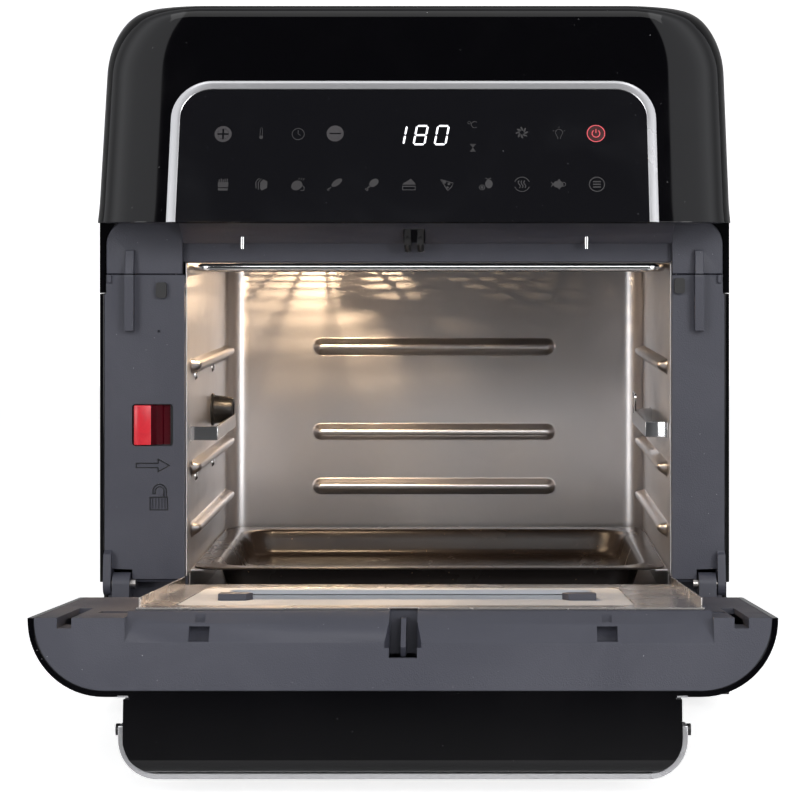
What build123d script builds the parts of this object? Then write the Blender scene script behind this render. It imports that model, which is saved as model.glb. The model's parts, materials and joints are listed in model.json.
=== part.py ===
from build123d import *
import os
from math import cos, radians, sin, tan

os.makedirs("parts", exist_ok=True)

# A countertop air fryer oven with a drop-down front door, drawn with the door open.
# X runs to the right, Y to the back and Z up, in millimetres.
# The origin is on the worktop, midway between the four feet.

# Overall body
body_width = 330.0
body_depth = 275.0
body_height = 371.0
skin = 2.3  # side panels
crown_wall = 3.0  # top housing
foot_height = 9.0
foot_radius = 11.0
foot_side_inset = 50.0  # sideways, from the body's sides
foot_inset = 35.0  # front and back, from the body's faces
base_height = 17.0  # base pan, above the feet
pan_wall = 2.5
fit = 0.3  # gap between pieces that are pushed together
play = 0.8  # gap round pieces that move

# Mouth of the cooking space, in the plane of the front frame
front = -body_depth / 2
back = body_depth / 2
half_width = body_width / 2
stile_left = 44.5  # from the body's side to the mouth
stile_right = 29.9
mouth_left = -half_width + stile_left
mouth_right = half_width - stile_right
cavity_floor = 53.0
cavity_top = 235.0
cavity_depth = 204.0
sheet = 0.8

# Front frame
frame_plate = 3.0
seam_height = 229.0
sill_depth = 12.5
sill_top = 56.0
rib_x = half_width - 16.0
rib_width = 4.7
rib_proud = 5.0
rib_low = 199.5
rib_high = 242.0
window_x = (mouth_left - 27.6, mouth_left - 6.1)  # slot of the release slider
window_z = (139.2, 161.2)
bumper_places = ((mouth_left - 12.0, seam_height - 8.0), (mouth_right + 3.7, seam_height - 5.7))
symbol_x = mouth_left - 16.75  # arrow and padlock, under the slider
arrow_height = 129.0
padlock_height = 109.0
soffit_points = [(-15.5, 256.0), (-6.0, 250.9), (0.0, 245.5)]
plunger_x = half_width - 75.0
plunger_radius = 1.5
plunger_depth = -2.2
plunger_tip = 242.6
plunger_top = 268.0
catch_half = 5.0

# Top housing and control panel
housing_overhang = 38.0
panel_foot = 256.0  # lower edge of the leaning front
panel_lean = 19.0  # degrees from upright
skirt_foot = 219.4
corner_wide = 16.0
corner_tall = 40.0
plan_corner = 34.0
trim_half = half_width - 40.0
trim_width = 4.7
trim_top = 329.6
trim_corner = 21.0
trim_proud = 0.8
lens_thick = 2.0
corner_front = 12.0
panel_row = 37.0  # display centre, up the slope
display_x = 6.0
board_gap = 9.0
slope_length = (trim_top - panel_foot) / cos(radians(panel_lean))
frame_half = half_width - skin - 0.2
narrow_half = half_width - crown_wall - 0.4

# Door, in its closed place unless it says open
hinge_height = 67.0
open_angle = 85.0
door_thickness = 37.3
door_top = 255.0
door_below_hinge = 10.0
door_shell_wall = 2.5
door_wall = 2.5
wing_gap = 3.0  # wings stand this far off the frame
wing_relief = 8.5  # deeper step beside the hinges
wing_relief_height = 58.0
block_foot = 12.0  # above the hinge line
facet_drop = 12.0  # how far the inner top edge is cut down
facet_knee = 5.0
facet_knee_depth = 6.0
facet_depth = 14.7
liner_half_thick = 0.5
window_low = 38.0
window_high = 160.0
window_half = half_width - 61.0
window_frame = 14.0
glass_thick = 3.2
handle_half = trim_half - 2.5
handle_proud = 33.3
handle_tall = 24.0
handle_top_plate = 6.0
handle_lip = 13.0
handle_corner = 15.0
strip_thick = 2.6
pin_radius = 2.5
ear_width = 4.0
lug_width = 9.0
top_rise = door_top - hinge_height
block_x = (mouth_left - 2.0, mouth_right + 1.7)  # raised middle of the door's inner side
pane_half = half_width - 61.0  # outer pane, and its heights above the hinge line
pane_low = 24.0
pane_high = 156.0
pane_ledge = 4.0
pane_corner = 12.0
pane_recess = 1.2
stud_radius = 1.5
stud_depth = 15.4
cheek_wide = 9.0
screw_x = (-handle_half + 22.5, 0, handle_half - 22.5)

# Things in the cooking space
spit_height = 150.0
spit_depth = 115.0
socket_radius = 9.5
socket_length = 12.7
shaft_radius = 4.0
tray_rim_height = 72.7
tray_front = 17.0
tray_back = 193.0
tray_bottom = 57.0
slider_travel = 4.5
plunger_travel = 3.2
fan_x = (mouth_left + mouth_right) / 2
fan_depth = 102.0
fan_radius = 58.0
runner_tops = (183.5, 129.0, 96.5)
back_ribs = ((177.0, 187.5), (124.7, 135.0), (91.4, 101.3))
back_rib_x = (mouth_left + 52.5, mouth_right - 54.1)
back_corner = 13.0
rivet_places = ((38.6, 174.3), (115.7, 174.3), (38.6, 119.8), (115.7, 119.8))
tray_ledge = 7.5
reflector_top = 262.0
lamp_x = mouth_left + 58.5
lamp_depth = 42.0
lamp_radius = 17.0
duct_x = (fan_x - 37.3, fan_x + 37.3)
heater_radius = 3.2
heater_height = reflector_top - 18.5
heater_outer = 62.0  # radius of each of the two rings
heater_inner = 44.0
heater_turn_back = 70.0  # degrees, where one ring turns back into the other
heater_tail = 12.0  # ends stand this far out behind the ceiling
clip_wide = 10.0
clip_thick = 1.2
clip_angles = (180.0, -60.0, 115.0)
guard_x = (mouth_left + 2.5, mouth_right - 2.5)
guard_y = (6.0, 199.0)
guard_rod = 4.4
guard_low = 230.5
spit_bore = 4.5
spit_bore_depth = 11.0
arm_z = (140.6, 148.0)
arm_reach = mouth_left + 15.2
inlet_x = half_width - 47.0  # mains lead, in the rear cover
inlet_z = 48.0
inlet_bore = 3.6


def block(x, y, z):
    """A box between a pair of values on each axis."""
    size = [high - low for low, high in (x, y, z)]
    middle = [(high + low) / 2 for low, high in (x, y, z)]
    return Pos(*middle) * Box(*size)


def rod(start, end, radius):
    """A round bar from one point to another."""
    path = Vector(*end) - Vector(*start)
    place = Plane(origin=start, z_dir=path).location
    return place * Pos(0, 0, path.length / 2) * Cylinder(radius, path.length)


def tube(start, end, radius, bore):
    """A round pipe from one point to another."""
    return rod(start, end, radius) - rod(start, end, bore)


def across(profile, low, high):
    """A profile drawn in Y and Z, pulled sideways from low to high."""
    return Pos(low, 0, 0) * extrude(Plane.YZ * profile, amount=high - low, dir=(1, 0, 0))


def through(profile, low, high):
    """A profile drawn in X and Z, pulled from the depth low to the depth high."""
    return Pos(0, high, 0) * extrude(Plane.XZ * profile, amount=high - low, dir=(0, -1, 0))


def upward(profile, low, high):
    """A profile drawn in X and Y, raised from low to high."""
    return Pos(0, 0, low) * extrude(profile, amount=high - low, dir=(0, 0, 1))


def area(*points):
    return Polygon(*points, align=None)


def panel(x, z, radius):
    """A rectangle with round corners between two pairs of values."""
    middle = ((x[0] + x[1]) / 2, (z[0] + z[1]) / 2)
    return Pos(*middle) * RectangleRounded(x[1] - x[0], z[1] - z[0], radius)


def deep(distance):
    """The Y of a point behind the plane of the front frame."""
    return front + distance


def save(name, shape):
    export_step(shape, f"parts/{name}.step")
    print(name, round(shape.volume))


# Top housing and control panel


def lean_at(height):
    """How far the leaning front stands before the frame plane at a height."""
    return housing_overhang - (height - panel_foot) * tan(radians(panel_lean))


def housing_front_view(inset, low):
    """The outline from the front, with tall elliptical upper corners."""
    half = body_width / 2 - inset
    top = body_height - inset
    wide = corner_wide - inset
    tall = corner_tall - inset
    outline = panel_plain((-half, half), (low, top))
    for side in (-1, 1):
        outline -= Pos(side * (half - wide / 2), top - tall / 2) * Rectangle(wide, tall)
        outline += Pos(side * (half - wide), top - tall) * Ellipse(wide, tall)
    return outline


def panel_plain(x, z):
    middle = ((x[0] + x[1]) / 2, (z[0] + z[1]) / 2)
    return Pos(*middle) * Rectangle(x[1] - x[0], z[1] - z[0])


def housing_side_view(inset, low, rear):
    """The outline from the side: an upright skirt, then a front that leans back."""
    slope = inset / cos(radians(panel_lean))
    top = body_height - inset
    foot = panel_foot if inset == 0 else panel_foot - 40
    points = [
        (deep(inset), low),
        (deep(inset), foot),
        (deep(slope - lean_at(foot)), foot),
        (deep(slope - lean_at(top)), top),
        (rear, top),
        (rear, low),
    ]
    outline = area(*points)
    crown = [v for v in outline.vertices() if abs(v.Y - top) < 1e-6 and v.X < 0]
    return fillet(crown, corner_front - inset)


def plan_view(inset, forward, rear):
    """The outline from above, with round front corners."""
    half = body_width / 2 - inset
    radius = plan_corner - inset
    outline = area((-half, forward), (half, forward), (half, rear), (-half, rear))
    corners = [v for v in outline.vertices() if abs(v.Y - forward) < 1e-6]
    return fillet(corners, radius)


def housing_solid(inset, low, rear):
    from_front = through(housing_front_view(inset, low), -2 * body_depth, rear)
    from_side = across(housing_side_view(inset, low, rear), -body_width, body_width)
    from_above = upward(plan_view(inset, deep(inset - housing_overhang), rear), low, body_height)
    return from_front & from_side & from_above


def on_panel(sketch, out):
    """A sketch laid on the leaning front, X sideways and Y up from its foot."""
    face = Plane(
        origin=(0, deep(-housing_overhang), panel_foot),
        x_dir=(1, 0, 0),
        z_dir=(0, -cos(radians(panel_lean)), sin(radians(panel_lean))),
    )
    return face.offset(out) * sketch


def sunk(sketch, out, depth):
    """A sketch on the leaning front, pulled inward from one height to a depth."""
    inward = (0, cos(radians(panel_lean)), -sin(radians(panel_lean)))
    return extrude(on_panel(sketch, out), amount=out + depth, dir=inward)


def arch(half, top, radius, low=0.0):
    """An upside-down U: straight sides and round upper corners."""
    outline = area((-half, low), (half, low), (half, top), (-half, top))
    corners = [v for v in outline.vertices() if abs(v.Y - top) < 1e-6]
    return fillet(corners, radius)


def trim_sketch():
    inner_half = trim_half - trim_width
    outer = arch(trim_half, slope_length, trim_corner)
    inner = arch(inner_half, slope_length - trim_width, trim_corner - trim_width, -1)
    return outer - inner


def make_top_housing():
    shell = housing_solid(0, skirt_foot, back) - housing_solid(crown_wall, 0, back + 50)
    lens_half = trim_half - trim_width
    opening = arch(lens_half - 3, slope_length - trim_width - 3, trim_corner - trim_width - 3, 4)
    seat = arch(trim_half, slope_length, trim_corner, -20)
    shell -= sunk(seat, trim_proud, 1.0)
    shell -= sunk(opening, 5, 3 * crown_wall)
    # Webs that round the upper corners of the frame's opening
    for side in (-1, 1):
        x = side * (narrow_half - 14)
        far = side * (narrow_half + 1)
        z = panel_foot + 2.5 - 14
        web = panel_plain((min(x, far), max(x, far)), (z, panel_foot + 0.5)) - Pos(x, z) * Circle(14.3)
        shell += through(web, deep(0), deep(frame_plate)) & block(
            (-200, 200), (deep(-1), deep(5)), (z, panel_foot - 0.1)
        )
    return shell


def make_panel_trim():
    return sunk(trim_sketch(), trim_proud, 1.0)


def make_control_panel():
    half = trim_half - trim_width - fit / 2
    lens = arch(half, slope_length - trim_width - fit / 2, trim_corner - trim_width, 0.3)
    plate = sunk(lens, 0, 1.0)
    window = arch(half - 3.2, slope_length - trim_width - 3.4, trim_corner - trim_width - 3.2, 4.2)
    return plate + sunk(window, -1.0, lens_thick)


def make_display_module():
    body = Pos(display_x, panel_row + 8) * Rectangle(60, 22)
    return sunk(body, -lens_thick - fit, board_gap)


def make_control_board():
    board_half = trim_half - 22.0
    board = Pos(0, panel_row) * Rectangle(2 * board_half, 56)
    plate = sunk(board, -board_gap, board_gap + 1.6)
    for x in (-board_half + 5, board_half - 5):
        for y in (panel_row - 22, panel_row + 22):
            post = Pos(x, y) * Circle(3)
            plate += sunk(post, -lens_thick, board_gap)
    return plate


# Front frame


def rib_side_view(low, high):
    """A long rib on the stile, thin at its top end."""
    taper = 14.0
    root = deep(0.5)
    tip = deep(-rib_proud)
    return area(
        (root, rib_low), (tip, rib_low), (tip, rib_high - taper),
        (deep(-rib_proud * 0.45), rib_high), (root, rib_high),
    ) & panel_plain((deep(-20), deep(20)), (low, high))


def stile_ribs(low, high):
    half = rib_width / 2
    left = across(rib_side_view(low, high), -rib_x - half, -rib_x + half)
    return left + across(rib_side_view(low, high), rib_x - half, rib_x + half)


def arrow_sketch():
    """A plain arrow that points to the right."""
    x, z = symbol_x, arrow_height
    tail, neck, tip = x - 8.75, x + 2.75, x + 8.75
    return area(
        (tail, z - 1.2), (neck, z - 1.2), (neck, z - 3.4), (tip, z),
        (neck, z + 3.4), (neck, z + 1.2), (tail, z + 1.2),
    )


def padlock_sketch():
    """An open padlock: a case and a shackle lifted out on one side."""
    x, z = symbol_x + 3.2, padlock_height
    case = panel((x - 4.65, x + 4.65), (z - 3.3, z + 3.4), 0.8)
    shackle = Pos(x + 0.45, z + 6.6) * (Circle(3.6) - Circle(2.2))
    shackle -= panel_plain((x - 4, x + 0.45), (z - 1, z + 6.6))
    leg = panel_plain((x + 2.65, x + 4.05), (z + 3.0, z + 6.8))
    hook = panel_plain((x - 3.15, x - 1.75), (z + 5.2, z + 6.8))
    return case + shackle + leg + hook


def make_front_frame():
    half = frame_half
    plate = block((-half, half), (deep(0), deep(frame_plate)), (hinge_height + play, seam_height))
    plate -= block((mouth_left, mouth_right), (deep(-1), deep(9)), (0, seam_height + 1))
    for side in (-1, 1):
        edge = side * half
        inner = side * (half - 2.5)
        ends = (min(edge, inner), max(edge, inner))
        plate += block(ends, (deep(frame_plate), deep(14)), (hinge_height + play, seam_height))
    # Lower rail and the backs of the stiles, set back so that the door's foot swings clear
    rail = block((-half, half), (deep(sill_depth), deep(sill_depth + 3)), (26.3, hinge_height + play + 2.5))
    rail -= block((mouth_left, mouth_right), (deep(0), deep(30)), (sill_top, 200))
    plate += rail
    for x in ((-half, mouth_left - sheet - 0.3), (mouth_right + sheet + 0.3, half)):
        shelf_z = (hinge_height + play, hinge_height + play + 2.5)
        plate += block(x, (deep(0), deep(sill_depth + 3)), shelf_z)
    plate += stile_ribs(rib_low, seam_height)
    # Ears that carry the hinge pins, outside the door's ends
    for side in (-1, 1):
        outer = side * half
        inner = side * (half - ear_width)
        ear = through_ear()
        plate += across(ear, min(outer, inner), max(outer, inner))
    plate -= hinge_bores()
    # Notches where the door's knuckles turn
    for side in (-1, 1):
        outer = side * (half - ear_width)
        inner = side * (half - ear_width - lug_width - 2 * play)
        room = (min(outer, inner), max(outer, inner))
        plate -= block(room, (deep(-8), deep(8)), (hinge_height - 8, hinge_height + 7.5))
    plate -= through(panel(window_x, window_z, 1.8), deep(-1), deep(9))
    plate -= through(arrow_sketch() + padlock_sketch(), deep(-1), deep(0.5))
    pit_x = mouth_left - 13.5
    plate -= rod((pit_x, deep(-1), 199.2), (pit_x, deep(1.2), 199.2), 0.8)
    # Narrower where the top housing's skirt reaches down outside it
    narrow = narrow_half
    for ends in ((-half - 1, -narrow), (narrow, half + 1)):
        plate -= block(ends, (deep(-9), deep(30)), (skirt_foot - 0.6, 300))
    # Small tabs on the outer edges below the seam
    for side in (-1, 1):
        x = side * (narrow - 1.7)
        plate += block((x - 1.2, x + 1.2), (deep(-1.6), deep(0.5)), (seam_height - 4.4, seam_height))
    return plate


def through_ear():
    """An ear: a round knuckle about the pin, with a web up along the frame."""
    knuckle = Pos(deep(0), hinge_height) * Circle(6.0)
    web = area(
        (deep(-6.0), hinge_height), (deep(-4.0), hinge_height + 16), (deep(1), hinge_height + 18),
        (deep(8), hinge_height + 4), (deep(6.0), hinge_height),
    )
    return knuckle + web


def hinge_bores():
    half = body_width / 2
    line = [(-half, deep(0), hinge_height), (half, deep(0), hinge_height)]
    return rod(*line, pin_radius + 0.05)


def make_door_bumpers():
    """Two small eight-sided rubber stops on the stiles."""
    stops = []
    for x, z in bumper_places:
        profile = panel((x - 2.7, x + 2.7), (z - 4.0, z + 4.0), 1.4)
        stops.append(through(profile, deep(-2.6), deep(0)))
    return Compound(children=stops)


def make_upper_bezel():
    """The moulding over the mouth, with a soffit that slopes like the door's edge."""
    half = narrow_half
    low = seam_height + 0.4
    top = panel_foot + 2.5
    face = area((-half, low), (half, low), (half, top), (-half, top))
    corners = [v for v in face.vertices() if abs(v.Y - top) < 1e-6]
    face = fillet(corners, min(14, 0.9 * (top - low)))
    plate = through(face, deep(0), deep(frame_plate))
    mouth = (mouth_left - 1.2, mouth_right)
    plate -= block(mouth, (deep(-1), deep(9)), (0, soffit_points[2][1]))
    # Soffit under the leaning front, in the plan of the housing
    lean = radians(panel_lean)
    lip = crown_wall / cos(lean) + fit + (top - panel_foot) * tan(lean)
    inside = upward(
        plan_view(crown_wall + 0.4, deep(lip - housing_overhang), deep(frame_plate)), panel_foot, top
    )
    plate += inside
    wedge = area(
        *[(deep(y), z) for y, z in soffit_points],
        (deep(frame_plate), soffit_points[2][1]), (deep(frame_plate), top), (deep(-15.5), top),
    )
    plate += across(wedge, *mouth)
    # Set-back band between the soffit and the guard
    plate += block(mouth, (deep(4.0), deep(6.5)), (cavity_top + 0.6, 248))
    plate += block(mouth, (deep(1), deep(6.5)), (soffit_points[2][1], 248))
    for side in (-1, 1):
        x = side * plunger_x
        line = [(x, deep(plunger_depth), 240), (x, deep(plunger_depth), 262)]
        plate -= rod(*line, plunger_radius + 0.1)
    # Pocket that holds the door catch
    plate -= block((-catch_half - fit, catch_half + fit), (deep(-9.3), deep(1.3)), (244, 255))
    plate += stile_ribs(low, rib_high)
    return plate


def make_door_plunger(side):
    """A door-switch pin with a collar above the soffit."""
    x = side * plunger_x
    y = deep(plunger_depth)
    pin = rod((x, y, plunger_tip), (x, y, plunger_top), plunger_radius)
    return pin + rod((x, y, 258.9), (x, y, 260.9), 3.2)


def make_door_switch(side):
    """A microswitch above the plunger, with the travel left between them."""
    x = side * plunger_x
    y = deep(plunger_depth)
    low = plunger_top + plunger_travel + fit
    body = block((x - 10, x + 10), (y - 3.2, y + 3.2), (low, low + 10))
    legs = block((x - 10, x - 7), (y - 3.2, y + 3.2), (258.5, low))
    return body + legs + block((x + 7, x + 10), (y - 3.2, y + 3.2), (258.5, low))


def make_door_catch():
    """Two ribbed jaws under the soffit that grip the fin in the door's edge."""
    body = block((-catch_half, catch_half), (deep(-9), deep(1)), (247.5, 255))
    jaws = Pos(0, deep(-4), 246.4) * Rot(0, 90, 0) * Cylinder(5.4, 2 * catch_half)
    jaws &= block((-20, 20), (deep(-20), deep(1)), (239, 250))
    body += jaws
    for x in (-3.4, 3.4):
        rib = Pos(x, deep(-4), 246.4) * Rot(0, 90, 0) * Cylinder(5.9, 1.0)
        body += rib & block((-20, 20), (deep(-20), deep(1)), (239, 250))
    return body - block((-1.7, 1.7), (deep(-20), deep(20)), (238, 252.5))


# Door, drawn closed


def edge(rise, depth):
    """A point of the door's side view: above the hinge line, and before the frame."""
    return (deep(-depth), hinge_height + rise)


def door_side_view(inset, top_gap):
    """The door from the side, with a foot that rounds about the hinge."""
    reach = door_thickness - inset
    outline = area(
        edge(-door_below_hinge + inset, wing_gap),
        edge(-door_below_hinge + inset, reach),
        edge(top_rise - top_gap, reach),
        edge(top_rise - top_gap, wing_gap),
    )
    foot = Pos(*edge(0, 0)) * Circle(reach)
    above = panel_plain((deep(-60), deep(10)), (hinge_height, hinge_height + 260))
    return outline & (foot + above)


def door_plan_view(inset):
    half = body_width / 2 - inset
    radius = plan_corner - inset
    forward = deep(inset - door_thickness)
    outline = area((-half, forward), (half, forward), (half, deep(5)), (-half, deep(5)))
    corners = [v for v in outline.vertices() if abs(v.Y - forward) < 1e-6]
    return fillet(corners, radius)


def door_envelope(inset, top_gap=0.0):
    side = across(door_side_view(inset, top_gap), -body_width, body_width)
    return side & upward(door_plan_view(inset), 0, body_height)


facet_cut = [
    edge(top_rise + 1, facet_depth),
    edge(top_rise, facet_depth),
    edge(top_rise - facet_knee, facet_knee_depth),
    edge(top_rise - facet_drop, 0),
    edge(top_rise - facet_drop, -5),
    edge(top_rise + 1, -5),
]


def hinge_side_relief():
    """Room about the ears and in front of the body's lower rail."""
    half = body_width / 2
    room = area(
        edge(-40, wing_relief), edge(wing_relief_height, wing_relief),
        edge(wing_relief_height, -5), edge(-40, -5),
    )
    cut = across(room, -half - 1, block_x[0]) + across(room, block_x[1], half + 1)
    trough = area(edge(-40, 12), edge(block_foot, 12), edge(block_foot, -5), edge(-40, -5))
    cut += across(trough, *block_x)
    for side in (-1, 1):
        inner = side * (frame_half - ear_width - play)
        outer = side * (half + 1)
        knuckle = Pos(*edge(0, 0)) * Circle(7.2)
        web = area(edge(0, 8), edge(22, 8), edge(22, -5), edge(0, -5))
        cut += across(knuckle + web, min(inner, outer), max(inner, outer))
    return cut


def as_z(pair):
    return (hinge_height + pair[0], hinge_height + pair[1])


def make_door_shell():
    """The gloss outer skin: front face, round sides, top edge and foot."""
    shell = door_envelope(0) - door_envelope(door_shell_wall)
    inner_half = pane_half - pane_ledge
    inner_z = as_z((pane_low + pane_ledge, pane_high - pane_ledge))
    opening = panel((-inner_half, inner_half), inner_z, pane_corner - pane_ledge)
    shell -= through(opening, deep(-60), deep(-20))
    recess = panel((-pane_half, pane_half), as_z((pane_low, pane_high)), pane_corner)
    shell -= through(recess, deep(-door_thickness - 1), deep(-door_thickness + pane_recess))
    shell -= handle_screw_holes()
    shell -= through(door_trim_sketch(), deep(-door_thickness - 1), deep(-door_thickness + 0.6))
    return shell - hinge_side_relief()


def door_trim_sketch():
    """A U of bright strip that carries on the panel's strips down the door."""
    top = as_z((0, top_rise))[1]
    low = hinge_height + 8
    outer = Rot(0, 0, 180) * arch(trim_half, -low, trim_corner, -top)
    inner = Rot(0, 0, 180) * arch(
        trim_half - trim_width, -low - trim_width, trim_corner - trim_width, -top - 1
    )
    return outer - inner


def make_door_trim():
    return through(door_trim_sketch(), deep(-door_thickness - 0.2), deep(-door_thickness + 0.6))


def handle_screw_holes():
    holes = None
    for x in screw_x:
        line = [(x, deep(-door_thickness - 1), door_top - 10), (x, deep(-door_thickness + 4), door_top - 10)]
        hole = rod(*line, 2.2)
        holes = hole if holes is None else holes + hole
    return holes


def make_door_inner_frame():
    """The matt moulding inside the door: wings, raised middle and top edge."""
    inset = door_shell_wall + 0.2
    solid = door_envelope(inset, 0.5)
    raised = area(
        edge(block_foot, wing_gap + 1), edge(block_foot, liner_half_thick),
        edge(top_rise - facet_drop, liner_half_thick), edge(top_rise - 0.5, facet_knee_depth),
        edge(top_rise - 0.5, wing_gap + 3),
    )
    solid += across(raised, *block_x)
    pocket = door_envelope(inset + door_wall) & block(
        (-200, 200), (deep(-60), deep(-wing_gap - door_wall)), (hinge_height + 4, door_top - 22)
    )
    solid -= pocket & block((-200, 200), (deep(-60), deep(-16)), (0, 400))
    solid -= pocket & block(
        (7 - half_width, half_width - 7), (deep(-60), deep(-wing_gap - door_wall)),
        (hinge_height + wing_relief_height + 4, door_top - 22),
    )
    front_half = half_width - 37.0
    solid -= block((-front_half, front_half), (deep(-60), deep(-30)), (hinge_height + 8, door_top - 22))
    solid -= block(
        (block_x[0] + 4, block_x[1] - 4), (deep(-60), deep(-20)), (door_top - 40, door_top - 4)
    )
    solid -= across(area(*facet_cut), *block_x)
    solid -= hinge_side_relief()
    solid += door_lugs()
    opening_half = window_half - window_frame
    opening = panel((-opening_half, opening_half), as_z((window_low + 8, window_high - 8)), 6)
    solid -= through(opening, deep(-60), deep(5))
    seat_x = (-window_half - fit, window_half + fit)
    seat = panel(seat_x, as_z((window_low - fit, window_high + fit)), 8 + fit)
    solid -= through(seat, deep(-2.0), deep(5))
    solid -= rib_pockets() + catch_slot() + bumper_slots() + edge_squares() + plunger_grooves()
    solid -= hinge_bores()
    return solid


def door_lugs():
    """Knuckles of the door, just inside the frame's ears."""
    lugs = None
    profile = Pos(*edge(0, 0)) * Circle(6.0)
    profile += area(edge(-6, 0), edge(-6, 12), edge(6, 12), edge(6, 0))
    outer = frame_half - ear_width - play
    for low, high in ((-outer, -outer + lug_width), (outer - lug_width, outer)):
        lug = across(profile, low, high)
        lugs = lug if lugs is None else lugs + lug
    return lugs


def rib_pockets():
    """Slots in the wings' upper end that take the stiles' ribs."""
    cut = None
    for side in (-1, 1):
        x = side * rib_x
        low = rib_low - 1.5
        slot = block((x - 3.2, x + 3.2), (deep(-7.6), deep(1)), (low, door_top + 1))
        cut = slot if cut is None else cut + slot
    return cut


def catch_slot():
    """The flared slot in the door's edge for the catch."""
    half = catch_half + 1.2
    plain = block((-half, half), (deep(-20.5), deep(1)), (236.5, door_top + 1))
    flare = area(
        (-half - 2.5, door_top + 1), (-half, door_top - 6), (half, door_top - 6), (half + 2.5, door_top + 1),
    )
    return plain + through(flare, deep(-16), deep(1))


def bumper_slots():
    """Shallow slots in the wings where the bumpers press."""
    cut = None
    for x, z in bumper_places:
        slot = block((x - 6.5, x + 6.5), (deep(-4.2), deep(1)), (z - 5, z + 5))
        cut = slot if cut is None else cut + slot
    return cut


def edge_squares():
    """Square dimples in the sloped edge, one at each side."""
    cut = None
    for side in (-1, 1):
        x = side * plunger_x
        square = block((x - 4.6, x + 4.6), (deep(-13.6), deep(-7.0)), (246.0, door_top + 1))
        cut = square if cut is None else cut + square
    return cut


def plunger_grooves():
    """Flats in the sloped edge where the door-switch pins ride up."""
    cut = None
    floor = plunger_tip + plunger_travel - 0.4
    for side in (-1, 1):
        x = side * plunger_x
        groove = block((x - 2.2, x + 2.2), (deep(-5.4), deep(1)), (floor, door_top + 1))
        cut = groove if cut is None else cut + groove
    return cut


def make_catch_fin():
    """A steel tongue with a hole, upright in the middle of the slot."""
    profile = area(
        edge(169.5, 4.0), edge(169.5, 20.5), edge(181, 20.5), edge(184, 16), edge(176, 4.0),
    ) - Pos(*edge(177, 12)) * Circle(1.4)
    return across(profile, -1.2, 1.2)


def make_door_liner():
    """A bright plate over the raised middle, with turned-up sides."""
    low = block_foot + 0.3
    high = top_rise - facet_drop - 0.5
    x = (mouth_left + 1.2, mouth_right - 1.2)
    plate = through(panel_plain(x, as_z((low, high))), deep(-0.5), deep(0.5))
    hole = panel((-window_half - 0.4, window_half + 0.4), as_z((window_low - 0.4, window_high + 0.4)), 8.4)
    plate -= through(hole, deep(-2), deep(2))
    plate -= block((-catch_half - 1.5, catch_half + 1.5), (deep(-2), deep(2)), (238.4, 250))
    for side in x:
        inner = side + 0.8 if side < 0 else side - 0.8
        flange = block(
            (min(side, inner), max(side, inner)), (deep(-0.5), deep(4.5)), as_z((low, high - 8))
        )
        plate += flange
    return plate


def make_window_retainer():
    """The silver frame about the inner glass."""
    outer = panel((-window_half, window_half), as_z((window_low, window_high)), 8)
    inner_x = window_half - window_frame
    inner = panel((-inner_x, inner_x), as_z((window_low + 12, window_high - 42)), 4)
    frame = through(outer, deep(-2.0), deep(0.2)) - through(inner, deep(-3), deep(2))
    seam_z = hinge_height + window_high - 42 + 1.6
    seam_half = inner_x - 15
    frame -= block((-seam_half, seam_half), (deep(-0.9), deep(1)), (seam_z, seam_z + 1.4))
    return frame


def make_glass_clips():
    """Two dark clips that hold the glass, at the ends of the seam."""
    clips = []
    z = hinge_height + window_high - 42 + 2.3
    for side in (-1, 1):
        far = side * (window_half - window_frame - 1.5)
        near, tip = far - side * 13.1, far - side * 15.9
        outline = area(
            (tip, z), (near, z - 5.5), (far, z - 5.5), (far, z + 5.5), (near, z + 5.5),
        )
        clips.append(through(outline, deep(0.2), deep(3.4)))
    return Compound(children=clips)


def make_inner_glass():
    x = window_half - window_frame - 0.4
    z = as_z((window_low + 8.4, window_high - 8.4))
    return through(panel((-x, x), z, 5), deep(-2.2 - glass_thick), deep(-2.2))


def make_outer_glass():
    """The flush outer pane in the door's face."""
    gap = 0.4
    half = pane_half - gap
    pane = panel((-half, half), as_z((pane_low + gap, pane_high - gap)), pane_corner - gap)
    face = -door_thickness
    plate = through(pane, deep(face), deep(face + pane_recess - 0.2))
    half -= pane_ledge
    low, high = pane_low + pane_ledge + gap, pane_high - pane_ledge - gap
    plug = panel((-half, half), as_z((low, high)), pane_corner - pane_ledge - gap)
    return plate + through(plug, deep(face + pane_recess - 0.3), deep(face + glass_thick))


def make_handle_core():
    """A shelf across the door's upper edge with a lip to pull on."""
    root = door_thickness
    tip = door_thickness + handle_proud
    plan = area(
        (-handle_half, deep(-tip)), (handle_half, deep(-tip)),
        (handle_half, deep(-root)), (-handle_half, deep(-root)),
    )
    corners = [v for v in plan.vertices() if abs(v.Y - deep(-tip)) < 1e-6]
    plan = fillet(corners, handle_corner)
    side = area(
        edge(top_rise, root), edge(top_rise, tip), edge(top_rise - handle_tall, tip),
        edge(top_rise - handle_tall, tip - handle_lip), edge(top_rise - handle_top_plate, tip - handle_lip),
        edge(top_rise - handle_top_plate, root + 5), edge(top_rise - 18, root + 3),
        edge(top_rise - 18, root),
    )
    nose = [v for v in side.vertices() if abs(v.X - deep(-tip)) < 1e-6]
    side = fillet(nose, 6)
    body = across(side, -handle_half, handle_half) & upward(plan, 0, body_height)
    # The root stays inside the door's bright strips
    root_half = trim_half - trim_width - 0.5
    for ends in ((-handle_half - 1, -root_half), (root_half, handle_half + 1)):
        body -= block(ends, (deep(-root - 1), deep(-root + 1)), (door_top - 40, door_top + 1))
    # Cheeks at the ends take the studs
    for side in (-1, 1):
        ends = (side * handle_half, side * (handle_half - cheek_wide))
        body += block(
            (min(ends), max(ends)), (deep(-tip + handle_lip - 1), deep(-root - stud_depth + 5)),
            (door_top - handle_tall + 4, door_top - 1),
        )
    return body - stud_bores(0.05)


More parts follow.
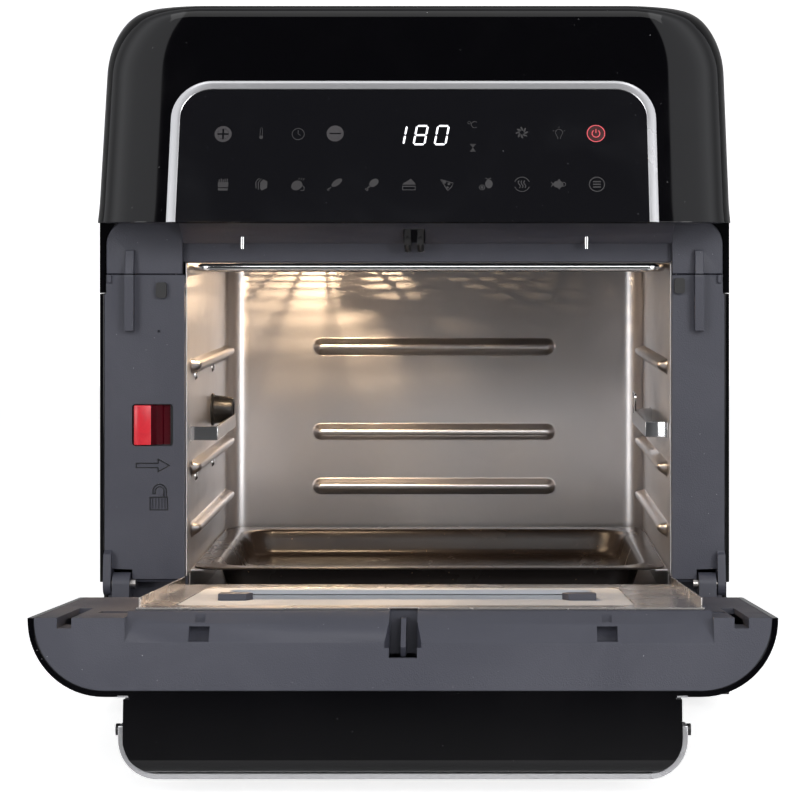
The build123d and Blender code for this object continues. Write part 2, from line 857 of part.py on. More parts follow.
def stud_line(side):
    y = deep(-door_thickness - stud_depth)
    z = door_top - handle_tall / 2
    return (side * (handle_half - cheek_wide + 2), y, z), (side * (handle_half + fit + strip_thick), y, z)


def stud_bores(room):
    return rod(*stud_line(-1), stud_radius + room) + rod(*stud_line(1), stud_radius + room)


def make_handle_strip():
    """A bright band that wraps the handle's outer face and both corners."""
    tip = door_thickness + handle_proud + fit
    reach = handle_half + fit
    outer = area(
        (-reach - strip_thick, deep(-tip - strip_thick)), (reach + strip_thick, deep(-tip - strip_thick)),
        (reach + strip_thick, deep(-door_thickness - 13)), (-reach - strip_thick, deep(-door_thickness - 13)),
    )
    inner = area(
        (-reach, deep(-tip)), (reach, deep(-tip)), (reach, deep(0)), (-reach, deep(0)),
    )
    lead = deep(-tip - strip_thick)
    outer = fillet([v for v in outer.vertices() if abs(v.Y - lead) < 1e-6], handle_corner + strip_thick)
    inner = fillet([v for v in inner.vertices() if abs(v.Y - deep(-tip)) < 1e-6], handle_corner)
    band = outer - inner
    low = door_top - handle_tall + 5
    return upward(band, low, door_top - 5) - stud_bores(0.1)


def make_handle_studs():
    """Two small studs that hold the band's ends."""
    studs = []
    for side in (-1, 1):
        start, face = stud_line(side)
        tip = (face[0] + side * 1.8, face[1], face[2])
        studs.append(rod(start, face, stud_radius) + rod(face, tip, stud_radius + 1.1))
    return Compound(children=studs)


def make_hinge_pins():
    pins = []
    for side in (-1, 1):
        inner = side * (frame_half - ear_width - play - lug_width - 2.7)
        outer = side * (frame_half - 0.2)
        pins.append(rod((inner, deep(0), hinge_height), (outer, deep(0), hinge_height), pin_radius))
    return Compound(children=pins)


def make_door_screws():
    """Screws that hold the handle, from inside the door's shell."""
    screws = []
    z = door_top - 10
    inner = deep(-door_thickness + door_shell_wall)
    for x in screw_x:
        shank = rod((x, inner, z), (x, deep(-door_thickness - 0), z), 2.0)
        screws.append(shank + rod((x, inner, z), (x, inner + 1.6, z), 3.6))
    return Compound(children=screws)


def swing_open(shape):
    """Turn a closed door piece about the hinge line to the open stop."""
    line = Axis((0, deep(0), hinge_height), (1, 0, 0))
    return shape.rotate(line, open_angle)


# Cooking space

def wall_rib(side_x, inward, top, low_y, high_y):
    """A pressed runner on a side wall: a shelf on top that slopes back below."""
    reach = 5.5 * inward
    profile = area(
        (side_x, top), (side_x + reach, top - 1.2), (side_x + reach, top - 3.2), (side_x, top - 6.4),
    )
    return through(profile, low_y, high_y)


def cavity_plan(inset):
    x = (mouth_left - inset, mouth_right + inset)
    rear = deep(cavity_depth + inset)
    outline = area((x[0], deep(frame_plate)), (x[1], deep(frame_plate)), (x[1], rear), (x[0], rear))
    corners = [v for v in outline.vertices() if abs(v.Y - rear) < 1e-6]
    return fillet(corners, back_corner + inset)


def spit_bore_through(low, high):
    """The hole for the spit's drive shaft."""
    y = deep(spit_depth)
    return rod((low, y, spit_height), (high, y, spit_height), shaft_radius + 0.9)


def make_cavity_shell():
    """The bright sheet box with pressed runners, open in front and on top."""
    shell = upward(cavity_plan(sheet), cavity_floor - sheet, cavity_top)
    shell -= upward(cavity_plan(0), cavity_floor, cavity_top + 1)
    shell -= block((-200, 200), (deep(0), deep(sill_depth + 3.3)), (0, sill_top - 2))
    shell -= block((-200, 200), (deep(0), deep(sill_depth + 3.3)), (0, hinge_height + play + 2.8))
    rear = deep(cavity_depth)
    for low, high in back_ribs:
        bar = panel(back_rib_x, (low, high), 3.5)
        shell += through(bar, rear - 4.0, rear + 0.2)
    for top in runner_tops:
        shell += wall_rib(mouth_left - 0.2, 1, top, deep(17), deep(188))
        shell += wall_rib(mouth_right + 0.2, -1, top, deep(17), deep(188))
    # Ledges that carry the rim of the drip tray
    ledge_z = (tray_rim_height - 1.0 - 1.2, tray_rim_height - 1.0)
    for wall, inward in ((mouth_left, 1), (mouth_right, -1)):
        ends = (wall - 0.3 * inward, wall + tray_ledge * inward)
        shell += block((min(ends), max(ends)), (deep(20), deep(188)), ledge_z)
    for y, z in rivet_places:
        shell -= rod((mouth_left - 5, deep(y), z), (mouth_left + 6, deep(y), z), 2.05)
    shell -= spit_bore_through(mouth_left - 5, mouth_left + 5)
    shell -= block((mouth_left - 3, mouth_left + 3), (deep(16.8), deep(20.4)), (139.6, 149.0))
    return shell


def make_reflector():
    """The ceiling of the cooking space, an inverted tray over the heater."""
    x = (mouth_left - sheet, mouth_right + sheet)
    y = (deep(8), deep(cavity_depth - 9))
    shell = block(x, y, (cavity_top, reflector_top))
    inner = block(
        (x[0] + 1, x[1] - 1), (y[0] + 1, y[1] - 1), (cavity_top - 1, reflector_top - 1)
    )
    shell -= inner
    z = (reflector_top - 5, reflector_top + 5)
    shell -= rod((fan_x, deep(fan_depth), z[0]), (fan_x, deep(fan_depth), z[1]), 6)
    shell -= rod((lamp_x, deep(lamp_depth), z[0]), (lamp_x, deep(lamp_depth), z[1]), lamp_radius + fit)
    shell -= block(duct_x, (y[1] - 5, y[1] + 5), (cavity_top + 3, reflector_top - 4))
    for radius in (heater_inner, heater_outer):
        x_end = fan_x + radius
        line = [(x_end, y[1] - 5, heater_height), (x_end, y[1] + 5, heater_height)]
        shell -= rod(*line, heater_radius + fit)
    return shell


def make_exhaust_duct():
    """A short duct from behind the heater to the grille in the rear cover."""
    low = deep(cavity_depth - 9)
    outer = block((duct_x[0] - 1, duct_x[1] + 1), (low, back - 3.5), (cavity_top + 2, reflector_top - 3))
    return outer - block(duct_x, (low - 1, back), (cavity_top + 3, reflector_top - 4))


def heater_point(radius, degrees):
    """A point on one of the heater's rings."""
    x = fan_x + radius * cos(radians(degrees))
    return Vector(x, deep(fan_depth) + radius * sin(radians(degrees)), heater_height)


def heater_path():
    """One rod: in from behind, round the outer ring, back round the inner one, and out."""
    rear = Vector(0, deep(cavity_depth - 9) + heater_tail - deep(fan_depth), 0)
    angles = [0.0, -90.0, -180.0, -270.0, heater_turn_back - 360.0]
    first = heater_point(heater_outer, 0)
    pieces = [Line(first + rear, first)]
    for start, end in zip(angles, angles[1:]):
        points = [heater_point(heater_outer, a) for a in (start, (start + end) / 2, end)]
        pieces.append(ThreePointArc(*points))
    middle = (heater_outer + heater_inner) / 2
    bend = (heater_outer - heater_inner) / 2
    lead = Vector(sin(radians(heater_turn_back)), -cos(radians(heater_turn_back)), 0) * bend
    pieces.append(ThreePointArc(
        heater_point(heater_outer, heater_turn_back), heater_point(middle, heater_turn_back) + lead,
        heater_point(heater_inner, heater_turn_back),
    ))
    for end, start in reversed(list(zip(angles, angles[1:]))):
        points = [heater_point(heater_inner, a) for a in (start, (start + end) / 2, end)]
        pieces.append(ThreePointArc(*points))
    last = heater_point(heater_inner, 0)
    pieces.append(Line(last, last + rear))
    return Wire([piece.edge() for piece in pieces])


def least_gap(path, radius):
    """The least air between lengths of a tube that aren't neighbours along it."""
    count = 400
    points = [path @ (n / count) for n in range(count + 1)]
    skip = int(8 * radius * count / path.length) + 1
    return min(
        (points[i] - points[j]).length - 2 * radius
        for i in range(count + 1) for j in range(i + skip, count + 1)
    )


def make_heater_coil():
    """A rod heater bent into two rings that are one inside the other."""
    path = heater_path()
    print("heater: length", round(path.length))
    print("heater: least gap to itself", round(least_gap(path, heater_radius), 2))
    profile = Plane(origin=path @ 0, z_dir=path % 0) * Circle(heater_radius)
    return sweep(profile, path)


def make_heater_clips():
    """Three folded straps that hang from the ceiling and carry the rings."""
    clips = []
    inner = heater_inner - heater_radius - 2
    outer = heater_outer + heater_radius + fit
    low = heater_height - heater_radius - fit - clip_thick
    ceiling = reflector_top - 1
    half = clip_wide / 2
    for angle in clip_angles:
        strap = block((inner, outer + clip_thick), (-half, half), (low, low + clip_thick))
        strap += block((outer, outer + clip_thick), (-half, half), (low, ceiling))
        strap += block((outer, outer + clip_wide), (-half, half), (ceiling - clip_thick, ceiling))
        clips.append(Pos(fan_x, deep(fan_depth), 0) * Rot(0, 0, angle) * strap)
    return Compound(children=clips)


def make_heater_guard():
    """The chromed guard: a round frame with a flat net inside it."""
    y = (deep(guard_y[0]), deep(guard_y[1]))
    outer = panel(guard_x, y, 10)
    inner = panel(
        (guard_x[0] + guard_rod, guard_x[1] - guard_rod), (y[0] + guard_rod, y[1] - guard_rod), 6
    )
    rim = upward(outer - inner, guard_low, guard_low + guard_rod)
    rim = fillet(rim.edges().filter_by(lambda e: abs(e.center().Z - guard_low) < 1e-4), 2.0)
    rim = fillet(rim.edges().filter_by(lambda e: abs(e.center().Z - guard_low - guard_rod) < 1e-4), 2.0)
    across_count, deep_count = 18, 14
    span_x = guard_x[1] - guard_x[0] - 2 * guard_rod + 1
    span_y = y[1] - y[0] - 2 * guard_rod + 1
    cell_x = span_x / across_count
    cell_y = span_y / deep_count
    bar = 1.5
    middle = ((guard_x[0] + guard_x[1]) / 2, (y[0] + y[1]) / 2)
    sheet_face = Pos(*middle) * Rectangle(span_x, span_y)
    gaps = [
        Pos(*middle) * place * Rectangle(cell_x - bar, cell_y - bar)
        for place in GridLocations(cell_x, cell_y, across_count, deep_count)
    ]
    net = upward(sheet_face - gaps, guard_low + 1.4, guard_low + 3.0)
    return rim + net


def make_lamp_holder():
    """A round cup in the ceiling that holds the bulb."""
    x, y = lamp_x, deep(lamp_depth)
    low, top = reflector_top - 1, reflector_top + 26
    bore = lamp_radius - 1.5
    cup = tube((x, y, low), (x, y, top), lamp_radius, bore)
    lid = rod((x, y, top - 1.5), (x, y, top), lamp_radius)
    flange = tube((x, y, reflector_top + 0.1), (x, y, reflector_top + 1.6), lamp_radius + 4, bore)
    neck = tube((x, y, top - 12), (x, y, top), 9.5, 7.1)
    return cup + lid + flange + neck


def make_lamp_bulb():
    x, y = lamp_x, deep(lamp_depth)
    top = reflector_top + 24.4
    cap = rod((x, y, top - 10), (x, y, top), 7.0)
    globe = Pos(x, y, top - 14.5) * Sphere(7.5)
    return cap + globe


def make_lamp_lens():
    x, y = lamp_x, deep(lamp_depth)
    plate = rod((x, y, reflector_top - 1.0), (x, y, reflector_top + 1.4), lamp_radius - 1.6)
    return plate


# Fans and motors

def make_convection_fan():
    """A disc with eight upright blades and a hub, under the ceiling."""
    z = 250.5
    wheel = rod((0, 0, z + 7), (0, 0, z + 8.2), fan_radius)
    for n in range(8):
        wheel += Rot(0, 0, n * 45) * block((14, fan_radius - 1), (-0.6, 0.6), (z, z + 7.2))
    wheel += rod((0, 0, z - 1), (0, 0, z + 8.2), 8)
    wheel -= rod((0, 0, z - 2), (0, 0, z + 20), 3.0)
    return Pos(fan_x, deep(fan_depth), 0) * wheel


def make_cooling_fan():
    """The small fan above the motor that draws air over the electronics."""
    z = 306.0
    wheel = rod((0, 0, z), (0, 0, z + 1.2), 40)
    for n in range(9):
        wheel += Rot(0, 0, n * 40) * block((12, 39), (-0.6, 0.6), (z + 1, z + 10))
    wheel += rod((0, 0, z), (0, 0, z + 10), 8)
    wheel -= rod((0, 0, z - 2), (0, 0, z + 20), 3.0)
    return Pos(fan_x, deep(fan_depth), 0) * wheel


def make_fan_shaft():
    y = deep(fan_depth)
    return rod((fan_x, y, 248.0), (fan_x, y, 318.0), 3.0)


def make_fan_motor():
    y = deep(fan_depth)
    body = rod((fan_x, y, reflector_top + 2.0), (fan_x, y, 300), 29)
    body += rod((fan_x, y, 300), (fan_x, y, 303.5), 10)
    return body - rod((fan_x, y, 250), (fan_x, y, 320), 3.05)


def make_motor_bracket():
    y = deep(fan_depth)
    plate = block((fan_x - 48, fan_x + 48), (y - 20, y + 20), (reflector_top, reflector_top + 2.0))
    return plate - rod((fan_x, y, 250), (fan_x, y, 320), 6)


def make_rotisserie_motor():
    x = (mouth_left - sheet - 26, mouth_left - sheet - 1.6)
    y, z = deep(spit_depth), spit_height
    body = rod((x[0], y, z), (x[1], y, z), 21.5)
    return body - rod((x[1] - 13, y, z), (x[1] + 1, y, z), shaft_radius + 0.05)


def make_rotisserie_bracket():
    x = (mouth_left - sheet - 1.6, mouth_left - sheet)
    plate = block(x, (deep(30), deep(150)), (112, 184))
    for y, z in rivet_places:
        plate -= rod((x[0] - 1, deep(y), z), (x[1] + 1, deep(y), z), 2.05)
    return plate - spit_bore_through(x[0] - 1, x[1] + 1)


def make_cavity_rivets():
    rivets = []
    for y, z in rivet_places:
        tail = mouth_left - sheet - 1.6
        shank = rod((tail - 1.0, deep(y), z), (mouth_left, deep(y), z), 2.0)
        head = rod((mouth_left, deep(y), z), (mouth_left + 1.4, deep(y), z), 2.5)
        rivets.append(shank + head)
    return Compound(children=rivets)


def make_spit_socket():
    """The black cup that drives the spit, on its shaft."""
    y, z = deep(spit_depth), spit_height
    x = (mouth_left + 0.5, mouth_left + 0.5 + socket_length)
    cup = rod((x[0], y, z), (x[1], y, z), socket_radius)
    cup -= rod((x[1] - spit_bore_depth, y, z), (x[1] + 1, y, z), spit_bore)
    shaft = rod((mouth_left - sheet - 1.6 - 12, y, z), (x[0] + 0.1, y, z), shaft_radius)
    return cup + shaft


def make_release_slider():
    """The red button with the plate that slides behind the stile."""
    rest = window_x[0] + 0.6
    grip_x = (rest, window_x[1] - play - slider_travel)
    grip = block(grip_x, (deep(-1.6), deep(frame_plate + 0.4)), (window_z[0] + 0.6, window_z[1] - 0.6))
    bevel = [e for e in grip.edges().filter_by(Axis.Z) if e.center().Y < deep(0)]
    grip = chamfer(bevel, 1.5)
    plate_x = (window_x[0] - 5, mouth_left - sheet - slider_travel - 1)
    plate_z = (window_z[0] - 3, window_z[1] + 3)
    plate = block(plate_x, (deep(frame_plate + fit), deep(frame_plate + 2.3)), plate_z)
    return grip + plate


def make_release_arm():
    """A folded steel strip from the slider, through the wall, to the socket."""
    y0 = deep(frame_plate + 2.3)
    x0 = window_x[0] + 1
    strip = block((x0, window_x[1] - 4), (y0, y0 + 1.2), arm_z)
    strip += block((x0, x0 + 1.2), (y0, deep(19.2)), arm_z)
    strip += block((x0, arm_reach), (deep(18.0), deep(19.2)), arm_z)
    strip += block((arm_reach - 1.2, arm_reach), (deep(18.0), deep(108)), arm_z)
    return strip


def make_spit_bracket():
    """The fixed cradle for the spit's free end, on the right wall."""
    x = (mouth_right - 12.2, mouth_right - 11.0)
    strip = block(x, (deep(25), deep(124)), (141.7, 150.0))
    strip += block(x, (deep(106), deep(124)), (141.7, 160.0))
    strip -= block((x[0] - 1, x[1] + 1), (deep(spit_depth - 3.3), deep(spit_depth + 3.3)), (148.0, 170))
    for y in (25, 122.8):
        strip += block((x[0], mouth_right), (deep(y), deep(y + 1.2)), (141.7, 150.0))
    strip += block((mouth_right - 1.2, mouth_right), (deep(122.8), deep(136)), (141.7, 150.0))
    strip += block((mouth_right - 1.2, mouth_right), (deep(19), deep(26)), (141.7, 150.0))
    return strip


def make_drip_tray():
    """A dark pressed tray with a wide flat rim and sloping sides."""
    x = (mouth_left + 1.5, mouth_right - 1.5)
    y = (deep(tray_front), deep(tray_back))
    rim = panel(x, y, 12)
    pan_x = (x[0] + 12.0, x[1] - 12.0)
    pan_y = (y[0] + 11.0, y[1] - 11.0)
    top = tray_rim_height
    mouth = panel(pan_x, pan_y, 18)
    slope = 5.0
    floor = panel((pan_x[0] + slope, pan_x[1] - slope), (pan_y[0] + slope, pan_y[1] - slope), 13)
    thick = 0.9
    cup = loft([Pos(0, 0, top) * mouth, Pos(0, 0, tray_bottom + thick) * floor])
    skin_x = (pan_x[0] - thick, pan_x[1] + thick)
    skin_y = (pan_y[0] - thick, pan_y[1] + thick)
    outer_mouth = panel(skin_x, skin_y, 18 + thick)
    outer_floor = panel(
        (skin_x[0] + slope, skin_x[1] - slope), (skin_y[0] + slope, skin_y[1] - slope), 13 + thick,
    )
    skin_out = loft([Pos(0, 0, top) * outer_mouth, Pos(0, 0, tray_bottom) * outer_floor])
    return upward(rim, top - 1.0, top) + skin_out - cup


# Body panels, base and electrics

def make_side_panel(side):
    half = body_width / 2
    ends = (side * half, side * (half - skin))
    x = (min(ends), max(ends))
    plate = block(x, (deep(0), back), (foot_height + base_height + fit, skirt_foot - fit))
    return plate - block((x[0] - 1, x[1] + 1), (deep(-1), deep(sill_depth + 0.3)), (0, hinge_height + play))


def make_base_pan():
    """The shallow tray under the body, with foot holes and air slots."""
    half = body_width / 2
    wall = pan_wall
    pan = block((-half, half), (front, back), (foot_height, foot_height + base_height))
    pan -= block(
        (-half + wall, half - wall), (front + wall, back - wall), (foot_height + wall, 60)
    )
    for n in range(-5, 6):
        slot = Pos(n * 14, 20) * SlotCenterToCenter(60, 5, rotation=90)
        pan -= upward(slot, 0, 30)
    for x, y in foot_places():
        pan -= rod((x, y, 0), (x, y, 30), 4.0)
    return pan


def foot_places():
    foot_reach = half_width - foot_side_inset
    return [(x, y) for x in (-foot_reach, foot_reach) for y in (front + foot_inset, back - foot_inset)]


def make_feet():
    feet = []
    for x, y in foot_places():
        foot = rod((x, y, 0), (x, y, foot_height), foot_radius)
        stem = rod((x, y, foot_height), (x, y, foot_height + 5), 3.9)
        feet.append(foot + stem)
    return Compound(children=feet)


def make_rear_cover():
    """The back plate with an exhaust grille, intake slots and cord inlet."""
    outline = housing_front_view(crown_wall + 0.3, foot_height + base_height + fit)
    cover = through(outline, back - 3.3, back - 0.3)
    grille_z = [cavity_top + 6 + n * 4.5 for n in range(4)]
    for z in grille_z:
        slot = Pos((duct_x[0] + duct_x[1]) / 2, z) * SlotCenterToCenter(58, 2.4)
        cover -= through(slot, back - 10, back + 10)
    for n in range(9):
        slot = Pos(-90 + n * 10, 320) * SlotCenterToCenter(26, 3, rotation=90)
        cover -= through(slot, back - 10, back + 10)
    for x, z in cover_screw_places():
        cover -= rod((x, back - 10, z), (x, back + 10, z), 2.05)
    return cover - rod((inlet_x, back - 20, inlet_z), (inlet_x, back + 20, inlet_z), 7.0)


def cover_screw_places():
    reach = half_width - 15.0
    return [(x, z) for x in (-reach, reach) for z in (60, 200, 300)]


def make_cover_screws():
    screws = []
    for x, z in cover_screw_places():
        head = rod((x, back - 0.3, z), (x, back + 1.1, z), 3.6)
        screws.append(head + rod((x, back - 12, z), (x, back - 0.3, z), 2.0))
    return Compound(children=screws)


def make_cord_inlet():
    """The bushing where the mains lead would enter."""
    y = back
    sleeve = tube((inlet_x, y - 8, inlet_z), (inlet_x, y + 5, inlet_z), 6.9, inlet_bore)
    flange = tube((inlet_x, y - 0.2, inlet_z), (inlet_x, y + 2, inlet_z), 10, inlet_bore)
    nut = tube((inlet_x, y - 6, inlet_z), (inlet_x, y - 3.4, inlet_z), 9.5, inlet_bore)
    return sleeve + flange + nut


def make_power_board():
    """The mains board, upright in the left compartment on the base pan."""
    x = (mouth_left - half_width) / 2 - 5.3
    low = foot_height + pan_wall
    y = (back - 125.0, back - 25.0)
    board = block((x, x + 1.6), y, (low + 6, low + 110))
    for foot in (y[0] + 10, y[1] - 10):
        board += block((x - 4, x + 6), (foot - 3, foot + 3), (low, low + 8))
    # a relay and a transformer
    board += block((x + 1.5, x + 15), (y[0] + 20, y[0] + 40), (low + 48, low + 73))
    board += block((x + 1.5, x + 18), (y[0] + 55, y[0] + 85), (low + 38, low + 68))
    return board


def make_thermostat():
    """The temperature sensor and cut-out on the ceiling's top."""
    x, y, z = 80.0, deep(60), reflector_top
    body = rod((x, y, z), (x, y, z + 8), 8)
    return body + block((x - 13, x + 13), (y - 4, y + 4), (z, z + 1.2))


def make_housing_brackets():
    """Angles that tie the cooking space's sides to the base pan."""
    angles = []
    low = foot_height + pan_wall
    for x in (mouth_left + 20, mouth_right - 20):
        for y in (60, 170):
            post = block((x - 8, x + 8), (deep(y), deep(y + 1.5)), (low, cavity_floor - sheet))
            foot = block((x - 8, x + 8), (deep(y), deep(y + 12)), (low, low + 1.5))
            angles.append(post + foot)
    return Compound(children=angles)


fixed_pieces = {
    "top_housing": make_top_housing,
    "control_panel": make_control_panel,
    "panel_trim": make_panel_trim,
    "display_module": make_display_module,
    "control_board": make_control_board,
    "upper_bezel": make_upper_bezel,
    "front_frame": make_front_frame,
    "door_bumpers": make_door_bumpers,
    "door_catch": make_door_catch,
    "door_switch_left": lambda: make_door_switch(-1),
    "door_switch_right": lambda: make_door_switch(1),
    "door_plunger_left": lambda: make_door_plunger(-1),
    "door_plunger_right": lambda: make_door_plunger(1),
    "side_panel_left": lambda: make_side_panel(-1),
    "side_panel_right": lambda: make_side_panel(1),
    "base_pan": make_base_pan,
    "feet": make_feet,
    "rear_cover": make_rear_cover,
    "cover_screws": make_cover_screws,
    "cord_inlet": make_cord_inlet,
    "cavity_shell": make_cavity_shell,
    "cavity_supports": make_housing_brackets,
    "cavity_rivets": make_cavity_rivets,
    "ceiling_reflector": make_reflector,
    "exhaust_duct": make_exhaust_duct,
    "heater_coil": make_heater_coil,
    "heater_clips": make_heater_clips,
    "heater_guard": make_heater_guard,
    "lamp_holder": make_lamp_holder,
    "lamp_bulb": make_lamp_bulb,
    "lamp_lens": make_lamp_lens,
    "convection_fan": make_convection_fan,
    "cooling_fan": make_cooling_fan,
    "fan_shaft": make_fan_shaft,
    "fan_motor": make_fan_motor,
    "motor_bracket": make_motor_bracket,
    "rotisserie_motor": make_rotisserie_motor,
    "rotisserie_bracket": make_rotisserie_bracket,
    "spit_socket": make_spit_socket,
    "spit_bracket": make_spit_bracket,
    "release_slider": make_release_slider,
    "release_arm": make_release_arm,
    "drip_tray": make_drip_tray,
    "power_board": make_power_board,
    "thermostat": make_thermostat,
}

door_pieces = {
    "door_shell": make_door_shell,
    "door_inner_frame": make_door_inner_frame,
    "door_liner": make_door_liner,
    "window_retainer": make_window_retainer,
    "glass_clips": make_glass_clips,
    "inner_glass": make_inner_glass,
    "outer_glass": make_outer_glass,
    "door_trim": make_door_trim,
    "handle_core": make_handle_core,
    "handle_strip": make_handle_strip,
    "handle_studs": make_handle_studs,
    "handle_screws": make_door_screws,
    "hinge_pins": make_hinge_pins,
    "catch_fin": make_catch_fin,
}

for name, make in fixed_pieces.items():
    save(name, make())

for name, make in door_pieces.items():
    save(name, swing_open(make()))
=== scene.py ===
# %% [markdown]
# An air fryer oven stands on a white table with its front door dropped open.
# The rigid pieces come from the measured model. This lesson gives them their
# finishes, adds the printed symbols and the pressed sheet, and sets up the light.

# %% Load the measured model
import json
import bpy
import numpy as np
from math import cos, pi, radians, sin, tan
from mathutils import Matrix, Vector

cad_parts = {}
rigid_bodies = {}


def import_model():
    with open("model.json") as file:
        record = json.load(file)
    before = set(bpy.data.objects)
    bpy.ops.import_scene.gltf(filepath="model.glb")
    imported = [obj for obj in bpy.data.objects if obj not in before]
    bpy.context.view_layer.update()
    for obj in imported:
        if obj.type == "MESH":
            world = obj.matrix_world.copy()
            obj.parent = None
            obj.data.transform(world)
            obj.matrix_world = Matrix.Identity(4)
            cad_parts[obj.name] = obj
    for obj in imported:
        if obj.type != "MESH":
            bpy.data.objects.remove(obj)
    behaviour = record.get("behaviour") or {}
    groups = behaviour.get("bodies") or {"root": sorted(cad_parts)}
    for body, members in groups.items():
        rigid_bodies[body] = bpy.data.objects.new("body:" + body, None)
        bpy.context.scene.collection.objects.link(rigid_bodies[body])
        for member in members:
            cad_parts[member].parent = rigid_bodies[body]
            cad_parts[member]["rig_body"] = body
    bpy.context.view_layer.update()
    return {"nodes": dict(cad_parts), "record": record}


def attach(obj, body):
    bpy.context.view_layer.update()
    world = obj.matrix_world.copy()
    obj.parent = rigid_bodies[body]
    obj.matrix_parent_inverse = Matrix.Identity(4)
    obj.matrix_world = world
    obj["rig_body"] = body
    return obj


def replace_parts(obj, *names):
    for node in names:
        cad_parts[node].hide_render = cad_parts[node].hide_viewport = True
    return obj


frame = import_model()
nodes = frame["nodes"]
scene = bpy.context.scene
print("pieces in the measured model:", len(nodes))

# %% [markdown]
# The picture was taken with a long lens, level with the control panel's foot.
# Upright lines stay upright and level ones stay level, so the lens is shifted
# instead of turned. The picture is 800 dots wide and the lens 2213 dots long.

# %% Camera
FRONT = -0.1375  # plane of the front frame
picture = 800.0
lens_dots = 2212.8
horizon = 248.0  # dots from the top
straight_ahead = 475.0  # dots from the left
away = 1.160  # metres from the lens to the front frame
lens_aside, lens_height = 0.0317, 0.243
film = 36.0

camera_data = bpy.data.cameras.new("camera")
camera_data.sensor_width = film
camera_data.lens = lens_dots / picture * film
camera_data.shift_x = -(straight_ahead - picture / 2) / picture
camera_data.shift_y = -(picture / 2 - horizon) / picture
camera_data.clip_start = 0.05
camera = bpy.data.objects.new("camera", camera_data)
camera.location = (lens_aside, FRONT - away, lens_height)
camera.rotation_euler = (pi / 2, 0.0, 0.0)
scene.collection.objects.link(camera)
scene.camera = camera
scene.view_settings.view_transform = "Standard"
print("lens", round(camera_data.lens, 1), "mm, shift", round(camera_data.shift_y, 3))

# %% [markdown]
# The table, the sky and every finish are built from shader nodes. A few helpers
# place a node, wire it, do a sum and make a soft step, so that each recipe
# further down reads as one line per idea.

# %% Helpers for shader nodes
def feed(tree, socket, value):
    """Wires an output to a socket, or sets the socket to a plain value."""
    if isinstance(value, bpy.types.NodeSocket):
        tree.links.new(value, socket)
    else:
        socket.default_value = value


def put(tree, kind, **settings):
    """A new node: a setting named in_ and a label feeds that input, any other goes on the node itself."""
    node = tree.nodes.new(kind)
    for key, value in settings.items():
        if key.startswith("in_"):
            label = key[3:].replace("_", " ")
            feed(tree, node.inputs[int(label) if label.isdigit() else label], value)
        else:
            setattr(node, key, value)
    return node


def maths(tree, kind, first, second=0.0):
    """The result of a sum, a product or another operation on two numbers."""
    return put(tree, "ShaderNodeMath", operation=kind, in_0=first, in_1=second).outputs[0]


def step_between(tree, source, low, high):
    """A mask that climbs smoothly from 0 at low to 1 at high."""
    return put(tree, "ShaderNodeMapRange", interpolation_type="SMOOTHSTEP", in_From_Min=low, in_From_Max=high,
               in_Value=source).outputs["Result"]


def mix_colour(tree, mask, first, second):
    """A colour that goes from first to second as the mask goes from 0 to 1."""
    ends = [(*value, 1.0) if isinstance(value, tuple) else value for value in (first, second)]
    return put(tree, "ShaderNodeMix", data_type="RGBA", in_0=mask, in_6=ends[0], in_7=ends[1]).outputs[2]


def new_material(name):
    """An empty finish: the material, its node tree and its Principled shader."""
    made = bpy.data.materials.new(name)
    made.use_nodes = True
    return made, made.node_tree, made.node_tree.nodes["Principled BSDF"]


print("node helpers ready")

# %% [markdown]
# The photo's ground is plain white. A white surface in soft light is never quite
# white, so table and backdrop add a little light of their own, but only to what
# the lens and clear glass see. To lamps and to gloss they stay plain white. Far in
# front of the oven the table's colour is painted dark: painted shade that stands
# for the dim room on the lens's side, for gloss to mirror.

# %% Table and backdrop
def sheet_mesh(name, points, made):
    """One flat four-cornered face with its material, linked to the scene."""
    mesh = bpy.data.meshes.new(name)
    mesh.from_pydata(points, [], [(0, 1, 2, 3)])
    mesh.materials.append(made)
    thing = bpy.data.objects.new(name, mesh)
    scene.collection.objects.link(thing)
    return thing


def white_stage(name, tint, glow, dark=None):
    """A pale surface that glows to the lens and to glass; its colour may be painted dark between two places
    along Y, as painted shade.
    """
    made, tree, shader = new_material(name)
    shader.inputs["Base Color"].default_value = (*tint, 1.0)
    shader.inputs["Roughness"].default_value = 0.55
    shader.inputs["Emission Color"].default_value = (1.0, 1.0, 1.0, 1.0)
    path = put(tree, "ShaderNodeLightPath").outputs
    seen = maths(tree, "MAXIMUM", path["Is Camera Ray"], path["Is Transmission Ray"])
    feed(tree, shader.inputs["Emission Strength"], maths(tree, "MULTIPLY", seen, glow))
    if dark:
        # Painted shade: far in front of the oven the table's colour goes to dark grey, standing for the dim
        # room that gloss mirrors.
        axes = put(tree, "ShaderNodeSeparateXYZ", in_0=put(tree, "ShaderNodeTexCoord").outputs["Object"])
        shade = step_between(tree, axes.outputs["Y"], *dark)
        feed(tree, shader.inputs["Base Color"], mix_colour(tree, shade, tint, (0.04, 0.04, 0.04)))
    return made


table = sheet_mesh("table", [(-3, -3, 0), (3, -3, 0), (3, 3, 0), (-3, 3, 0)],
                   white_stage("white table", (0.86, 0.86, 0.87), 0.82, dark=(-0.42, -0.68)))
backdrop = sheet_mesh("backdrop", [(-4, 2.6, -0.5), (4, 2.6, -0.5), (4, 2.6, 4), (-4, 2.6, 4)],
                      white_stage("white backdrop", (0.9, 0.9, 0.9), 1.0))
print("stage:", table.name, "and", backdrop.name)

# %% [markdown]
# A weak soft lamp above gives an even light. Two upright strip lamps at the
# sides draw long soft lines on the gloss black housing, and a lamp near the
# lens fills the shadows of the dark door.

